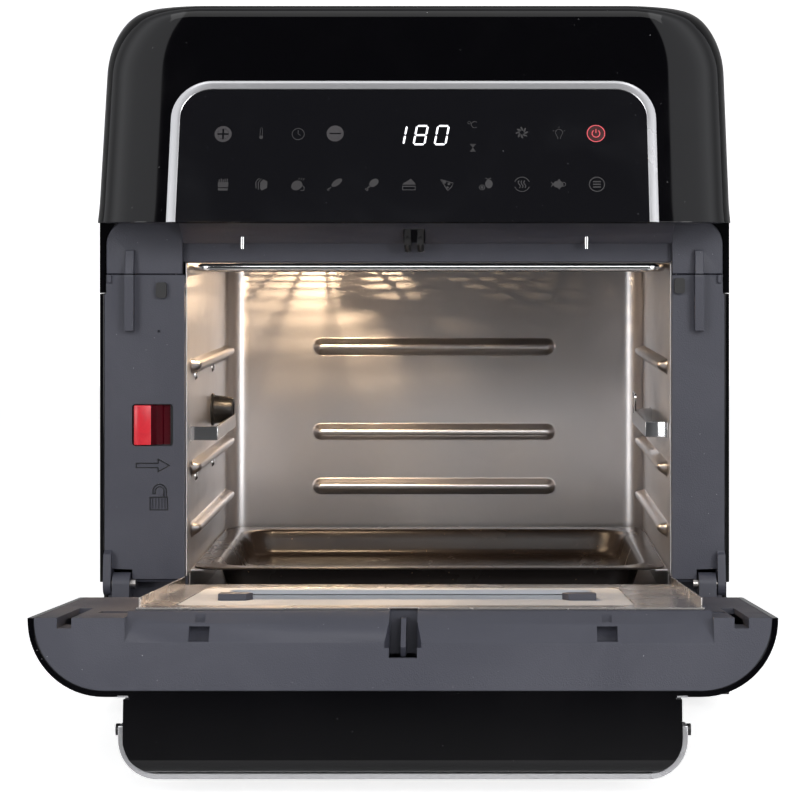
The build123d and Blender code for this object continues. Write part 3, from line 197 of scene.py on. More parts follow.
# %% Lamps
def soft_lamp(name, place, aim, size, power):
    """A rectangular lamp at a place, turned to face a point."""
    data = bpy.data.lights.new(name, "AREA")
    data.shape = "RECTANGLE"
    data.size, data.size_y = size
    data.energy = power
    lamp = bpy.data.objects.new(name, data)
    lamp.location = place
    lamp.rotation_euler = (Vector(aim) - Vector(place)).to_track_quat("-Z", "Y").to_euler()
    scene.collection.objects.link(lamp)


soft_lamp("overhead", (0.0, -0.45, 1.7), (0.0, -0.1, 0.1), (1.4, 0.9), 3.5)
soft_lamp("left strip", (-1.05, -1.55, 0.45), (0.0, -0.1, 0.2), (0.60, 1.3), 12.0)
soft_lamp("right strip", (1.05, -1.55, 0.45), (0.0, -0.1, 0.2), (0.60, 1.3), 16.0)
soft_lamp("front fill", (0.2, -1.9, 1.0), (0.0, -0.1, 0.15), (1.0, 0.45), 9.0)

# %% [markdown]
# The sky is a dim room in front of the oven and a bright wall behind it. Gloss
# also mirrors two tall white screens, left and right of a dark gap at the lens:
# they are steps over directions, added only where a glossy ray asks. They give
# the housing its two grey side zones round a black middle.

# %% Sky
world = bpy.data.worlds.new("studio")
scene.world = world
world.use_nodes = True
sky = world.node_tree
toward = put(sky, "ShaderNodeSeparateXYZ", in_0=put(sky, "ShaderNodeTexCoord").outputs["Generated"]).outputs
level = put(sky, "ShaderNodeMapRange", in_From_Min=-0.35, in_From_Max=0.55, in_To_Min=0.04, in_To_Max=0.48,
            in_Value=toward["Y"]).outputs["Result"]
beside_gap = step_between(sky, maths(sky, "ABSOLUTE", toward["X"]), 0.18, 0.21)
screens = maths(sky, "MULTIPLY", beside_gap, step_between(sky, toward["Z"], 0.06, 0.22))
screens = maths(sky, "MULTIPLY", screens, step_between(sky, toward["Y"], 0.35, -0.05))
mirrored = maths(sky, "MULTIPLY", screens, put(sky, "ShaderNodeLightPath").outputs["Is Glossy Ray"])
background = sky.nodes["Background"].inputs
background["Color"].default_value = (0.96, 0.97, 1.0, 1.0)
feed(sky, background["Strength"], maths(sky, "ADD", level, maths(sky, "MULTIPLY", mirrored, 0.8)))
print("sky nodes:", len(sky.nodes))

# %% [markdown]
# Several finishes share the same small effects: the fine grain of a moulded
# face, drawn lines of rolled metal, dust, and soft smudges. Each one is built
# once as a node group that reads the place on the object, in metres.

# %% Helpers for shared effects
def effect(name, knobs, results):
    """A node group with number knobs and named results, ready to be wired."""
    tree = bpy.data.node_groups.new(name, "ShaderNodeTree")
    for label, value in knobs.items():
        knob = tree.interface.new_socket(label, in_out="INPUT", socket_type="NodeSocketFloat")
        knob.default_value = value
    for label in results:
        tree.interface.new_socket(label, in_out="OUTPUT", socket_type="NodeSocketFloat")
    return tree, tree.nodes.new("NodeGroupInput").outputs, tree.nodes.new("NodeGroupOutput").inputs


def place_on_object(tree, stretch=(1.0, 1.0, 1.0)):
    """Object coordinates, stretched along the axes."""
    place = put(tree, "ShaderNodeTexCoord").outputs["Object"]
    return put(tree, "ShaderNodeMapping", in_Scale=stretch, in_Vector=place).outputs["Vector"]


def per_metre(tree, size):
    """How many cells of a size in millimetres fit in a metre."""
    return maths(tree, "DIVIDE", 1000.0, size)


print("effect helpers ready")

# %% [markdown]
# A spark-worn mould leaves grain of two kinds: rough noise and round cells.
# Adding the two gives a height that a bump can use, and costs less than a mesh.

# %% Moulded grain
GRAIN, knobs, results = effect("moulded grain", {"Size mm": 0.5}, ["Height"])
place, scale = place_on_object(GRAIN), per_metre(GRAIN, knobs["Size mm"])
noise = put(GRAIN, "ShaderNodeTexNoise", in_Detail=3.0, in_Roughness=0.65, in_Vector=place, in_Scale=scale)
cells = put(GRAIN, "ShaderNodeTexVoronoi", feature="SMOOTH_F1", in_Vector=place, in_Scale=scale)
feed(GRAIN, results["Height"], maths(GRAIN, "ADD", noise.outputs[0], cells.outputs["Distance"]))
print("grain nodes:", len(GRAIN.nodes))

# %% [markdown]
# Dust settles as rare small specks. A pattern of cells has a middle in each
# cell; only the middles of a few cells, picked by the cell's own random number,
# are let through, each as strong as a second random number says. Smudges are
# broad soft noise that leaves most of the face clean.

# %% Dust and smudges
SPECK = 0.085  # radius of a speck, as a share of its cell
DUST, knobs, results = effect("dust", {"Size mm": 2.0, "Share": 0.06}, ["Mask"])
cells = put(DUST, "ShaderNodeTexVoronoi", feature="F1", in_Vector=place_on_object(DUST),
            in_Scale=per_metre(DUST, knobs["Size mm"]))
near = maths(DUST, "LESS_THAN", cells.outputs["Distance"], SPECK)
pick = put(DUST, "ShaderNodeSeparateColor", in_0=cells.outputs["Color"]).outputs
rare = maths(DUST, "LESS_THAN", pick[0], knobs["Share"])
feed(DUST, results["Mask"], maths(DUST, "MULTIPLY", maths(DUST, "MULTIPLY", near, rare), pick[1]))

SMUDGE, knobs, results = effect("smudges", {"Size mm": 60.0}, ["Mask"])
noise = put(SMUDGE, "ShaderNodeTexNoise", in_Detail=4.0, in_Roughness=0.6, in_Distortion=0.6,
            in_Vector=place_on_object(SMUDGE), in_Scale=per_metre(SMUDGE, knobs["Size mm"]))
feed(SMUDGE, results["Mask"], step_between(SMUDGE, noise.outputs[0], 0.42, 0.75))
print("dust nodes:", len(DUST.nodes), "smudge nodes:", len(SMUDGE.nodes))

# %% [markdown]
# Rolled sheet has noise drawn out long one way. A few bright scratches cross it:
# the thin line where a bent noise passes its middle value, kept only in places.

# %% Rolled sheet
ROLLED, knobs, results = effect("rolled sheet", {"Width mm": 0.5}, ["Lines", "Scratch"])
grooves = put(ROLLED, "ShaderNodeTexNoise", in_Detail=4.0, in_Roughness=0.7,
              in_Vector=place_on_object(ROLLED, (1.0, 1.0, 0.03)),
              in_Scale=per_metre(ROLLED, knobs["Width mm"]))
feed(ROLLED, results["Lines"], grooves.outputs[0])
hair = put(ROLLED, "ShaderNodeTexNoise", in_Detail=2.0, in_Scale=14.0, in_Distortion=2.2,
           in_Vector=place_on_object(ROLLED, (1.0, 1.0, 2.6)))
off_middle = maths(ROLLED, "ABSOLUTE", maths(ROLLED, "SUBTRACT", hair.outputs[0], 0.5))
where = put(ROLLED, "ShaderNodeTexNoise", in_Detail=1.0, in_Scale=23.0, in_Vector=place_on_object(ROLLED))
feed(ROLLED, results["Scratch"], maths(ROLLED, "MULTIPLY", step_between(ROLLED, off_middle, 0.0009, 0.0),
                                       step_between(ROLLED, where.outputs[0], 0.66, 0.74)))
print("shared effects:", [g.name for g in bpy.data.node_groups])

# %% [markdown]
# Every finish is a Principled shader. Two colours are mixed by the smudges,
# dust lies on top, and the gloss wanders a little between two values, because
# no real face is equally clean all over. The grain or the lines become a bump.

# %% How a finish is mixed
def use(tree, group, **knobs):
    """The results of a shared effect, placed in a material with its own knob values."""
    return put(tree, "ShaderNodeGroup", node_tree=group, **{"in_" + k: v for k, v in knobs.items()}).outputs


def between(tree, mask, low, high):
    """A number that goes from low to high as the mask goes from 0 to 1."""
    return put(tree, "ShaderNodeMapRange", in_To_Min=low, in_To_Max=high, in_Value=mask).outputs["Result"]


def finish(name, colour, other, gloss, metal=0.0, shine=0.5, patch=60.0, dust=0.0, dust_tint=(0.5, 0.5, 0.52),
           grain=0.0, grain_depth=0.0, lines=0.0, line_depth=0.00001, scratch=None):
    """A finish: two colours, a gloss range, dust, and a bump of grain or drawn lines."""
    made, tree, shader = new_material(name)
    shader.inputs["Metallic"].default_value = metal
    shader.inputs["Specular IOR Level"].default_value = shine
    smudge = use(tree, SMUDGE, Size_mm=patch)["Mask"]
    tone = mix_colour(tree, smudge, colour, other)
    feed(tree, shader.inputs["Roughness"], between(tree, smudge, *gloss))
    if lines:
        rolled = use(tree, ROLLED, Width_mm=lines)
        height, depth = rolled["Lines"], line_depth
        if scratch:
            tone = mix_colour(tree, rolled["Scratch"], tone, scratch)
    if grain:
        height, depth = use(tree, GRAIN, Size_mm=grain)["Height"], grain_depth
    if lines or grain:
        bump = put(tree, "ShaderNodeBump", in_Strength=1.0, in_Distance=depth, in_Height=height)
        feed(tree, shader.inputs["Normal"], bump.outputs["Normal"])
    if dust:
        tone = mix_colour(tree, use(tree, DUST, Size_mm=2.2, Share=dust)["Mask"], tone, dust_tint)
    feed(tree, shader.inputs["Base Color"], tone)
    return made


def clear(name, tint, rough, thin_tint=None):
    """Clear or smoked glass: plain transmission, with the tint in its colour."""
    made, tree, shader = new_material(name)
    shader.inputs["Transmission Weight"].default_value = 1.0
    shader.inputs["IOR"].default_value = 1.5
    smudge = use(tree, SMUDGE, Size_mm=35.0)["Mask"]
    feed(tree, shader.inputs["Base Color"], mix_colour(tree, smudge, tint, thin_tint or tint))
    feed(tree, shader.inputs["Roughness"], between(tree, smudge, rough, rough + 0.06))
    return made


print("finish makers ready")

# %% [markdown]
# The colours are read off the real object's own look: a black that mirrors, a
# charcoal that doesn't, satin steel with drawn lines, and a few bright parts.
# Each piece of the measured model gets the finish that its slot names.

# %% The finishes
FINISH = {
    "gloss_black": finish("gloss black", (0.0011, 0.0010, 0.0017), (0.0020, 0.0018, 0.0026), (0.06, 0.11),
                          dust=0.035),
    "charcoal": finish("charcoal moulding", (0.048, 0.0495, 0.067), (0.058, 0.0595, 0.078), (0.48, 0.58),
                       grain=0.55, grain_depth=0.00006, dust=0.05),
    "bright_trim": finish("satin strip", (0.74, 0.74, 0.76), (0.68, 0.68, 0.70), (0.20, 0.30), metal=0.7,
                          lines=0.35),
    "cavity_steel": finish("satin sheet", (0.54, 0.525, 0.53), (0.50, 0.485, 0.49), (0.31, 0.35), metal=1.0,
                           lines=0.4, line_depth=0.000006, scratch=(0.66, 0.65, 0.65)),
    "bright_steel": finish("folded sheet", (0.60, 0.57, 0.55), (0.54, 0.51, 0.49), (0.26, 0.32), metal=1.0,
                           lines=0.4),
    "retainer": finish("blasted plate", (0.44, 0.46, 0.50), (0.41, 0.43, 0.47), (0.66, 0.74),
                       grain=0.35, grain_depth=0.00003),
    "chrome": finish("chrome", (0.80, 0.80, 0.81), (0.74, 0.74, 0.75), (0.06, 0.14), metal=1.0, patch=25.0),
    "non_stick": finish("non-stick coat", (0.012, 0.009, 0.008), (0.018, 0.014, 0.012), (0.24, 0.32),
                        shine=0.18, grain=0.35, grain_depth=0.00002, dust=0.12,
                        dust_tint=(0.75, 0.50, 0.25)),
    "cup": finish("cup moulding", (0.004, 0.004, 0.005), (0.007, 0.007, 0.007), (0.24, 0.32),
                  shine=0.18, grain=0.5, grain_depth=0.00003),
    "red_plastic": finish("red button", (0.72, 0.026, 0.042), (0.60, 0.020, 0.036), (0.28, 0.38), patch=8.0),
    "rubber": finish("black rubber", (0.020, 0.020, 0.021), (0.030, 0.030, 0.031), (0.62, 0.75),
                     grain=0.8, grain_depth=0.00004),
    "black_plastic": finish("black moulding", (0.016, 0.016, 0.018), (0.024, 0.023, 0.024), (0.34, 0.46),
                            grain=0.6, grain_depth=0.00004),
    "panel_glass": finish("panel lens", (0.0060, 0.0060, 0.0078), (0.0068, 0.0070, 0.0090), (0.10, 0.16),
                          dust=0.05, dust_tint=(0.30, 0.30, 0.32)),
    "clear_glass": clear("window glass", (0.93, 0.95, 0.94), 0.01, (0.90, 0.92, 0.91)),
    "smoked_glass": clear("smoked glass", (0.20, 0.20, 0.22), 0.01, (0.17, 0.17, 0.19)),
    "lamp_glass": clear("lamp glass", (0.98, 0.96, 0.92), 0.12),
    "board": finish("circuit board", (0.012, 0.075, 0.035), (0.016, 0.060, 0.030), (0.35, 0.45), patch=6.0),
    "display": finish("display body", (0.45, 0.45, 0.45), (0.38, 0.38, 0.38), (0.35, 0.45), patch=8.0),
    "motor_metal": finish("plated case", (0.45, 0.45, 0.46), (0.36, 0.36, 0.37), (0.32, 0.42), metal=1.0,
                          patch=15.0),
    "heater": finish("heater sheath", (0.060, 0.055, 0.052), (0.10, 0.075, 0.06), (0.45, 0.6), metal=0.6,
                     patch=12.0),
}
for part in frame["record"]["subparts"]:
    piece = nodes[part["node"]]
    piece.data.materials.clear()
    piece.data.materials.append(FINISH[part["material_slot"]])
print("finishes:", len(FINISH))

# %% [markdown]
# Pieces that the measured model shows too plainly are made again as surfaces.
# Each is a grid of points worked out in millimetres, with a face between every
# four neighbours. It stays at the origin, rides on its body like the piece that
# it stands in for, and wears the finish it is given.

# %% Helpers for surfaces
MM = 0.001


def add_piece(name, mesh, material, body):
    """Puts a mesh in the scene as a piece, with its finish and the body it rides on."""
    mesh.materials.clear()
    mesh.materials.append(material)
    piece = bpy.data.objects.new(name, mesh)
    scene.collection.objects.link(piece)
    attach(piece, body)
    return piece


def new_piece(name, points, faces, material, body, slot, smooth=True):
    """A piece from points in millimetres and lists of the points round each face."""
    mesh = bpy.data.meshes.new(name)
    mesh.from_pydata((np.asarray(points, float) * MM).reshape(-1, 3).tolist(), [], faces)
    mesh.update()
    if smooth:
        mesh.shade_smooth()
    return add_piece(name, mesh, material, body)


def grid_faces(rows, columns, closed=False, keep=None, flip=False):
    """Four-cornered faces between neighbours of a grid of points."""
    r, c = np.meshgrid(np.arange(rows - 1), np.arange(columns if closed else columns - 1), indexing="ij")
    right = (c + 1) % columns
    quads = np.stack([r * columns + c, r * columns + right,
                      (r + 1) * columns + right, (r + 1) * columns + c], axis=-1)
    quads = quads[keep] if keep is not None else quads.reshape(-1, 4)
    return (quads[:, ::-1] if flip else quads).tolist()


def thicken(piece, wall):
    """Gives a sheet its wall, on the side away from its faces."""
    solid = piece.modifiers.new("wall", "SOLIDIFY")
    solid.thickness = wall * MM
    solid.offset = -1.0
    solid.use_even_offset = True
    return solid


def smooth_by_angle(piece, degrees=30.0):
    """Soft shading, with a hard line wherever two faces meet at more than an angle."""
    piece.data.set_sharp_from_angle(angle=radians(degrees))


def spaced(stops, coarse, fine, reach):
    """Distances between stops: fine steps near each stop, and coarse ones between."""
    low, high = stops[0], stops[-1]
    close = [np.arange(s - reach, s + reach + fine / 2, fine) for s in stops]
    far = np.arange(low, high, coarse)
    far = far[np.min(np.abs(far[:, None] - np.array(stops)[None, :]), axis=1) > reach]
    every = np.unique(np.round(np.concatenate(close + [far, np.array(stops)]), 3))
    return every[(every >= low) & (every <= high)]


print("surface helpers ready")

# %% [markdown]
# The cooking space is one pressed sheet. Its wall is a surface with two
# numbers for every point: how far along the floor plan, and how high. The
# runners and the bars in the back are pressed inward, so they are only a
# change of depth on that surface, with soft edges like real pressed metal.

# %% Helpers for the pressed lining
Y0 = FRONT / MM  # plane of the front frame, in millimetres
LEFT, RIGHT = -120.5, 135.1  # walls of the cooking space
FLOOR, TOP, REAR, CORNER = 53.0, 235.0, 204.0, 13.0
RUNNERS = (183.5, 129.0, 96.5)  # upper edge of each runner
RUNNER_ENDS, RUNNER_PRESS, ROUND_END = (17.0, 188.0), 5.4, 6.0
RUNNER_RISE, RUNNER_FALL = 2.4, 6.0  # from its ridge to its upper and to its lower edge
BARS = ((177.0, 187.5), (124.7, 135.0), (91.4, 101.3))  # bars in the back
BAR_ENDS, BAR_PRESS = (-68.0, 81.0), 4.6
LIP = (15.9, 70.6)  # the lower front corners are cut away to this depth and height
ARM_SLOT = ((16.9, 20.4), (139.6, 149.0))  # where the folded strip comes through the left wall


def soft_ridge(t, flat=0.16):
    """1 on a flat middle, 0 at the edge, with an S-shaped slope between them."""
    slope = np.clip((1.0 - t) / (1.0 - flat), 0.0, 1.0)
    return slope * slope * (3.0 - 2.0 * slope)


def pressed_bar(x, z):
    """A long bar with round ends: distance to its middle line over its half height."""
    press = np.zeros_like(x)
    for low, high in BARS:
        half, middle = (high - low) / 2.0, (high + low) / 2.0
        past_end = np.maximum(np.abs(x - sum(BAR_ENDS) / 2) - (BAR_ENDS[1] - BAR_ENDS[0]) / 2 + half, 0.0)
        lift = z - middle
        t = np.hypot(past_end, lift) / half
        press = np.maximum(press, BAR_PRESS * soft_ridge(t, 0.10))
    return press


def pressed_runner(depth, z):
    """A shelf with a steep upper side and a long lower slope, rounded at both ends."""
    press = np.zeros_like(z)
    for top in RUNNERS:
        ridge = top - RUNNER_RISE
        above = np.clip((z - ridge) / RUNNER_RISE, 0.0, 1.0)
        below = np.clip((ridge - z) / RUNNER_FALL, 0.0, 1.0)
        first, last = RUNNER_ENDS[0] + ROUND_END, RUNNER_ENDS[1] - ROUND_END
        ends = np.clip((first - depth) / ROUND_END, 0.0, 1.0) + np.clip((depth - last) / ROUND_END, 0.0, 1.0)
        t = np.hypot(np.maximum(above, below), ends)
        press = np.maximum(press, RUNNER_PRESS * soft_ridge(np.clip(t, 0, 1), 0.12))
    return press


print("runners:", len(RUNNERS), "on each side, bars:", len(BARS))

# %% [markdown]
# The plan runs along the left wall, round the rear corner, along the back and
# forward again on the right. Every place on it knows which way is inward, so
# that the pressed depth can be added there. Points stand close together only
# where the sheet bends, and faces are left out where it is cut.

# %% Wall of the cooking space
sides = spaced([3.0, 16.0, ARM_SLOT[0][1], 186.0, REAR - CORNER], 8.0, 1.1, 5.0)
back = spaced([LEFT + CORNER, BAR_ENDS[0] + 4, BAR_ENDS[1] - 4, RIGHT - CORNER], 8.0, 0.9, 5.5)
turn = np.linspace(0.0, pi / 2, 11)[1:-1]
edges = sorted([v for b in BARS for v in b] + [r - 3 for r in RUNNERS] + list(ARM_SLOT[1]))
rise = spaced([FLOOR, LIP[1]] + edges + [TOP], 6.0, 0.75, 4.2)

plan_x = np.concatenate([np.full(len(sides), LEFT), LEFT + CORNER - CORNER * np.cos(turn), back,
                         RIGHT - CORNER + CORNER * np.sin(turn), np.full(len(sides), RIGHT)])
plan_d = np.concatenate([sides, REAR - CORNER + CORNER * np.sin(turn), np.full(len(back), REAR),
                         REAR - CORNER + CORNER * np.cos(turn), sides[::-1]])
inward = np.concatenate([np.tile([[1.0, 0.0]], (len(sides), 1)),
                         np.stack([np.cos(turn), -np.sin(turn)], 1),
                         np.tile([[0.0, -1.0]], (len(back), 1)),
                         np.stack([-np.sin(turn), -np.cos(turn)], 1),
                         np.tile([[-1.0, 0.0]], (len(sides), 1))])
z_grid, x_grid = np.meshgrid(rise, plan_x, indexing="ij")
d_grid = np.broadcast_to(plan_d, x_grid.shape)
on_side = np.abs(inward[:, 0]) > 0.99
on_back = np.abs(inward[:, 1]) > 0.99
press = np.where(on_side, pressed_runner(d_grid, z_grid), 0.0)
press = np.where(on_back, pressed_bar(x_grid, z_grid), press)
wall = np.stack([x_grid + press * inward[:, 0], d_grid + press * inward[:, 1], z_grid], axis=-1)
wall[..., 1] += Y0

middle_d = (d_grid[:-1, :-1] + d_grid[1:, 1:]) / 2
middle_z = (z_grid[:-1, :-1] + z_grid[1:, 1:]) / 2
middle_x = (x_grid[:-1, :-1] + x_grid[1:, 1:]) / 2
keep = ~((middle_d < LIP[0]) & (middle_z < LIP[1]))
in_slot = (middle_d > ARM_SLOT[0][0]) & (middle_d < ARM_SLOT[0][1])
in_slot &= (middle_z > ARM_SLOT[1][0]) & (middle_z < ARM_SLOT[1][1])
keep &= ~((middle_x < LEFT + 6) & in_slot)
lining = new_piece("cooking_space_wall", wall, grid_faces(*x_grid.shape, keep=keep, flip=True),
                   FINISH["cavity_steel"], "chassis", "cavity_steel")
SHEET = 0.8  # thickness of the steel sheet
thicken(lining, SHEET)
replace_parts(lining, "cavity_shell")
print("wall:", len(rise), "rows of", len(plan_x), "points")

# %% [markdown]
# The floor of the cooking space closes the same plan. The tray's rim rests on
# two narrow ledges that are spot-welded to the side walls.

# %% Floor and ledges of the cooking space
plan = np.stack([plan_x, plan_d + Y0, np.full(len(plan_x), FLOOR)], axis=1)
shown = plan_d >= LIP[0]
base = new_piece("cooking_space_floor", plan[shown], [list(range(int(shown.sum())))],
                 FINISH["cavity_steel"], "chassis", "cavity_steel", smooth=False)
thicken(base, SHEET)


def boxes(name, corners, material, body, slot, edge=0.0):
    """Several boxes, each from its lowest and highest corner, with eased edges."""
    low, high = np.asarray(corners, float)[:, 0], np.asarray(corners, float)[:, 1]
    pick = np.array([[0, 0, 0], [1, 0, 0], [1, 1, 0], [0, 1, 0], [0, 0, 1], [1, 0, 1], [1, 1, 1], [0, 1, 1]])
    points = np.where(pick[None], high[:, None], low[:, None]).reshape(-1, 3)
    quads = np.array([[0, 3, 2, 1], [4, 5, 6, 7], [0, 1, 5, 4], [1, 2, 6, 5], [2, 3, 7, 6], [3, 0, 4, 7]])
    faces = (quads[None] + 8 * np.arange(len(low))[:, None, None]).reshape(-1, 4).tolist()
    piece = new_piece(name, points, faces, material, body, slot, smooth=False)
    if edge:
        bevel = piece.modifiers.new("edge", "BEVEL")
        bevel.width, bevel.segments = edge * MM, 2


LEDGE_Y, LEDGE_Z, LEDGE_WIDE = (Y0 + 20, Y0 + 188), (70.5, 71.7), 7.5
boxes("tray_ledges", [[(x, LEDGE_Y[0], LEDGE_Z[0]), (x + LEDGE_WIDE, LEDGE_Y[1], LEDGE_Z[1])]
                      for x in (LEFT, RIGHT - LEDGE_WIDE)],
      FINISH["cavity_steel"], "chassis", "cavity_steel", edge=0.3)
print("floor corners:", int(shown.sum()))

# %% [markdown]
# The drip tray is a stack of rounded rectangles. Each ring of the stack has its
# own inset, height and corner radius, and the rings are joined like a loft.

# %% Drip tray
def rounded_ring(half_x, half_y, radius, per_corner=10, per_side=4):
    """Points round a rectangle with round corners, counter-clockwise, with more on its long sides."""
    angle = np.linspace(0.0, pi / 2, per_corner)
    corner = np.stack([np.cos(angle), np.sin(angle)], axis=1) * radius
    parts = []
    for turn_of, (cx, cy) in enumerate([(1, 1), (-1, 1), (-1, -1), (1, -1)]):
        c, s = cos(turn_of * pi / 2), sin(turn_of * pi / 2)
        centre = np.array([cx * (half_x - radius), cy * (half_y - radius)])
        parts.append(corner @ np.array([[c, s], [-s, c]]) + centre)
    ring = np.concatenate(parts)
    following = np.roll(ring, -1, axis=0)
    long = np.flatnonzero(np.linalg.norm(following - ring, axis=1) > 2.5 * radius * pi / 2 / per_corner + 6.0)
    share = np.linspace(0.0, 1.0, per_side + 1)[1:-1, None]
    pieces, start = [], 0
    for spot in long:
        pieces += [ring[start:spot + 1], ring[spot] + (following[spot] - ring[spot]) * share]
        start = spot + 1
    return np.concatenate(pieces + [ring[start:]])


# inset from the rim's edge, height, corner radius
tray_rings = np.array([
    (0.35, 71.8, 11.6), (0.0, 72.1, 12.0), (0.1, 72.5, 11.9), (0.5, 72.7, 11.5), (4.0, 72.7, 12.5),
    (9.5, 72.65, 15.5), (11.2, 72.4, 17.5), (12.2, 71.7, 18.0), (12.9, 70.4, 17.6), (14.2, 66.5, 16.6),
    (15.8, 61.5, 15.4), (16.6, 59.6, 14.8), (17.6, 58.5, 14.0), (19.4, 58.0, 12.6), (23.0, 57.9, 11.0),
    (30.0, 58.0, 10.0), (60.0, 58.3, 8.0),
])
TRAY_WALL = 0.85
tray_x, tray_d = (LEFT + 1.5, RIGHT - 1.5), (17.0, 193.0)
half_x, half_y = (tray_x[1] - tray_x[0]) / 2, (tray_d[1] - tray_d[0]) / 2
centre = np.array([sum(tray_x) / 2, sum(tray_d) / 2 + Y0])
rings = []
for inset, height, radius in tray_rings:
    flat = rounded_ring(half_x - inset, half_y - inset, radius) + centre
    rings.append(np.column_stack([flat, np.full(len(flat), height)]))
count = len(rings[0])
tray_faces = grid_faces(len(rings), count, closed=True)
tray_faces.append([(len(rings) - 1) * count + k for k in range(count)])
tray = new_piece("drip_tray_skin", np.concatenate(rings), tray_faces, FINISH["non_stick"],
                 "tray", "non_stick")
thicken(tray, TRAY_WALL)
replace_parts(tray, "drip_tray")
print("tray:", len(rings), "rings of", count, "points,", sorted({len(r) for r in rings}))

# %% [markdown]
# The bright strip round the control panel is one cross-section carried along an
# arch: up the left side, round two corners and down the right. Its outer edge
# is bevelled, which is why it shows as a grey line beside a white one.

# %% Strip round the panel
LEAN = radians(19.0)
PANEL_FOOT, OVERHANG = 256.0, 38.0
ARCH_HALF, ARCH_TOP, ARCH_RADIUS = 125.0, 329.6, 21.0
UP = np.array([0.0, sin(LEAN), cos(LEAN)])
OUT = np.array([0.0, -cos(LEAN), sin(LEAN)])


def arch_path(half, height, radius, per_corner=14):
    """Points and outward directions along an upside-down U, from its left foot."""
    angle = np.linspace(pi, pi / 2, per_corner)
    left = np.stack([np.cos(angle), np.sin(angle)], 1)
    right = left[::-1] * [-1.0, 1.0]
    corner = np.array([half - radius, height - radius])
    line = np.concatenate([[[-half, 0.0]], left * radius + corner * [-1, 1], right * radius + corner,
                           [[half, 0.0]]])
    away = np.concatenate([[[-1.0, 0.0]], left, right, [[1.0, 0.0]]])
    return line, away


def on_panel(x, up, out):
    """A place on the leaning panel: sideways, up the slope, and out from its face."""
    foot = np.array([0.0, Y0 - OVERHANG, PANEL_FOOT])
    side = np.asarray(x)[..., None] * np.array([1.0, 0.0, 0.0])
    return foot + side + np.asarray(up)[..., None] * UP + np.asarray(out)[..., None] * OUT


# inset from the strip's outer edge, lift off the panel
section = np.array([(0.0, -0.9), (0.0, 0.12), (0.15, 0.22), (1.35, 0.72), (1.6, 0.78), (4.45, 0.8),
                    (4.7, 0.66), (4.7, -0.6)])
slope = (ARCH_TOP - PANEL_FOOT) / cos(LEAN)
line, away = arch_path(ARCH_HALF, slope, ARCH_RADIUS)
flat = line[:, None, :] - away[:, None, :] * section[None, :, :1]
lift = np.broadcast_to(section[None, :, 1], flat.shape[:2])
panel_strip = new_piece("panel_strip", on_panel(flat[..., 0], flat[..., 1], lift),
                        grid_faces(*flat.shape[:2], flip=True), FINISH["bright_trim"],
                        "chassis", "bright_trim")
smooth_by_angle(panel_strip, 20.0)
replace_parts(panel_strip, "panel_trim")
print("strip:", len(line), "places along it,", round(2 * slope + 2 * ARCH_HALF), "mm long")

# %% [markdown]
# Moulded and folded pieces never have knife edges, and it is the thin light
# along each edge that makes them look real. A copy of each measured piece is
# merged, its flat faces are joined, and its edges get a small round bevel. The
# rear cover's shoulders are drawn in as far as those of the housing.

# %% Helpers for eased edges
import bmesh

SHOULDER = (24.0, 36.0)  # the housing's upper corners, wide and tall
MEASURED_SHOULDER = (16.0, 40.0)
SHOULDER_FROM, SHOULDER_EASE = 120.0, 30.0  # sideways from the middle
CROWN = 371.0
LEAST_EDGE, LEAST_OUTLINE = 2.4, 12.0  # room for a bevel, in bevel widths: edges beside it, outlines of faces


def ellipse_inset(height, wide, tall):
    """How far a tall elliptical corner stands in from the side, at a height."""
    t = np.clip((height - (CROWN - tall)) / tall, 0.0, 1.0)
    return wide * (1.0 - np.sqrt(1.0 - t * t))


def draw_in(work):
    """Moves the upper corners of a piece inward to the housing's shoulders."""
    at = np.array([v.co[:] for v in work.verts]) / MM
    inset = ellipse_inset(at[:, 2], *SHOULDER) - ellipse_inset(at[:, 2], *MEASURED_SHOULDER)
    inset *= np.clip((np.abs(at[:, 0]) - SHOULDER_FROM) / SHOULDER_EASE, 0.0, 1.0)
    for vertex, x, inward in zip(work.verts, at[:, 0], inset):
        vertex.co.x = (x - np.sign(x) * max(inward, 0.0)) * MM


def merged_copy(node):
    """A copy of a measured piece's mesh, opened for work, its loose triangles joined at their points."""
    mesh = nodes[node].data.copy()
    work = bmesh.new()
    work.from_mesh(mesh)
    bmesh.ops.remove_doubles(work, verts=work.verts, dist=1e-6)
    return mesh, work


def join_flats(work):
    """Makes one face of neighbours that lie in one plane."""
    bmesh.ops.dissolve_limit(work, angle_limit=radians(0.3), verts=work.verts, edges=work.edges)


def eased(node, width, angle=32.0):
    """A copy of a measured piece with merged points, joined flats and bevelled edges."""
    mesh, work = merged_copy(node)
    if node == "rear_cover":
        draw_in(work)
    else:
        join_flats(work)
    ease = work.edges.layers.float.new("bevel_weight_edge")
    for edge in work.edges:
        if edge.is_convex and edge.calc_face_angle(0.0) > radians(angle):
            beside = [near.calc_length() for end in edge.verts for near in end.link_edges]
            room = min(face.calc_perimeter() for face in edge.link_faces)
            fits = min(beside) > LEAST_EDGE * width * MM and room > LEAST_OUTLINE * width * MM
            edge[ease] = float(fits)
    work.to_mesh(mesh)
    work.free()
    mesh.shade_smooth()
    facts = next(part for part in frame["record"]["subparts"] if part["node"] == node)
    slot = facts["material_slot"]
    piece = add_piece(node + "_eased", mesh, FINISH[OTHER_LOOK.get(node, slot)], nodes[node]["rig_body"])
    smooth_by_angle(piece, angle)
    if width:
        bevel = piece.modifiers.new("edge", "BEVEL")
        bevel.width, bevel.segments = width * MM, 2
        bevel.limit_method = "WEIGHT"
    even = piece.modifiers.new("even shading", "WEIGHTED_NORMAL")
    even.mode = "FACE_AREA"
    even.keep_sharp = True
    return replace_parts(piece, node)


print("ways to ease an edge ready")

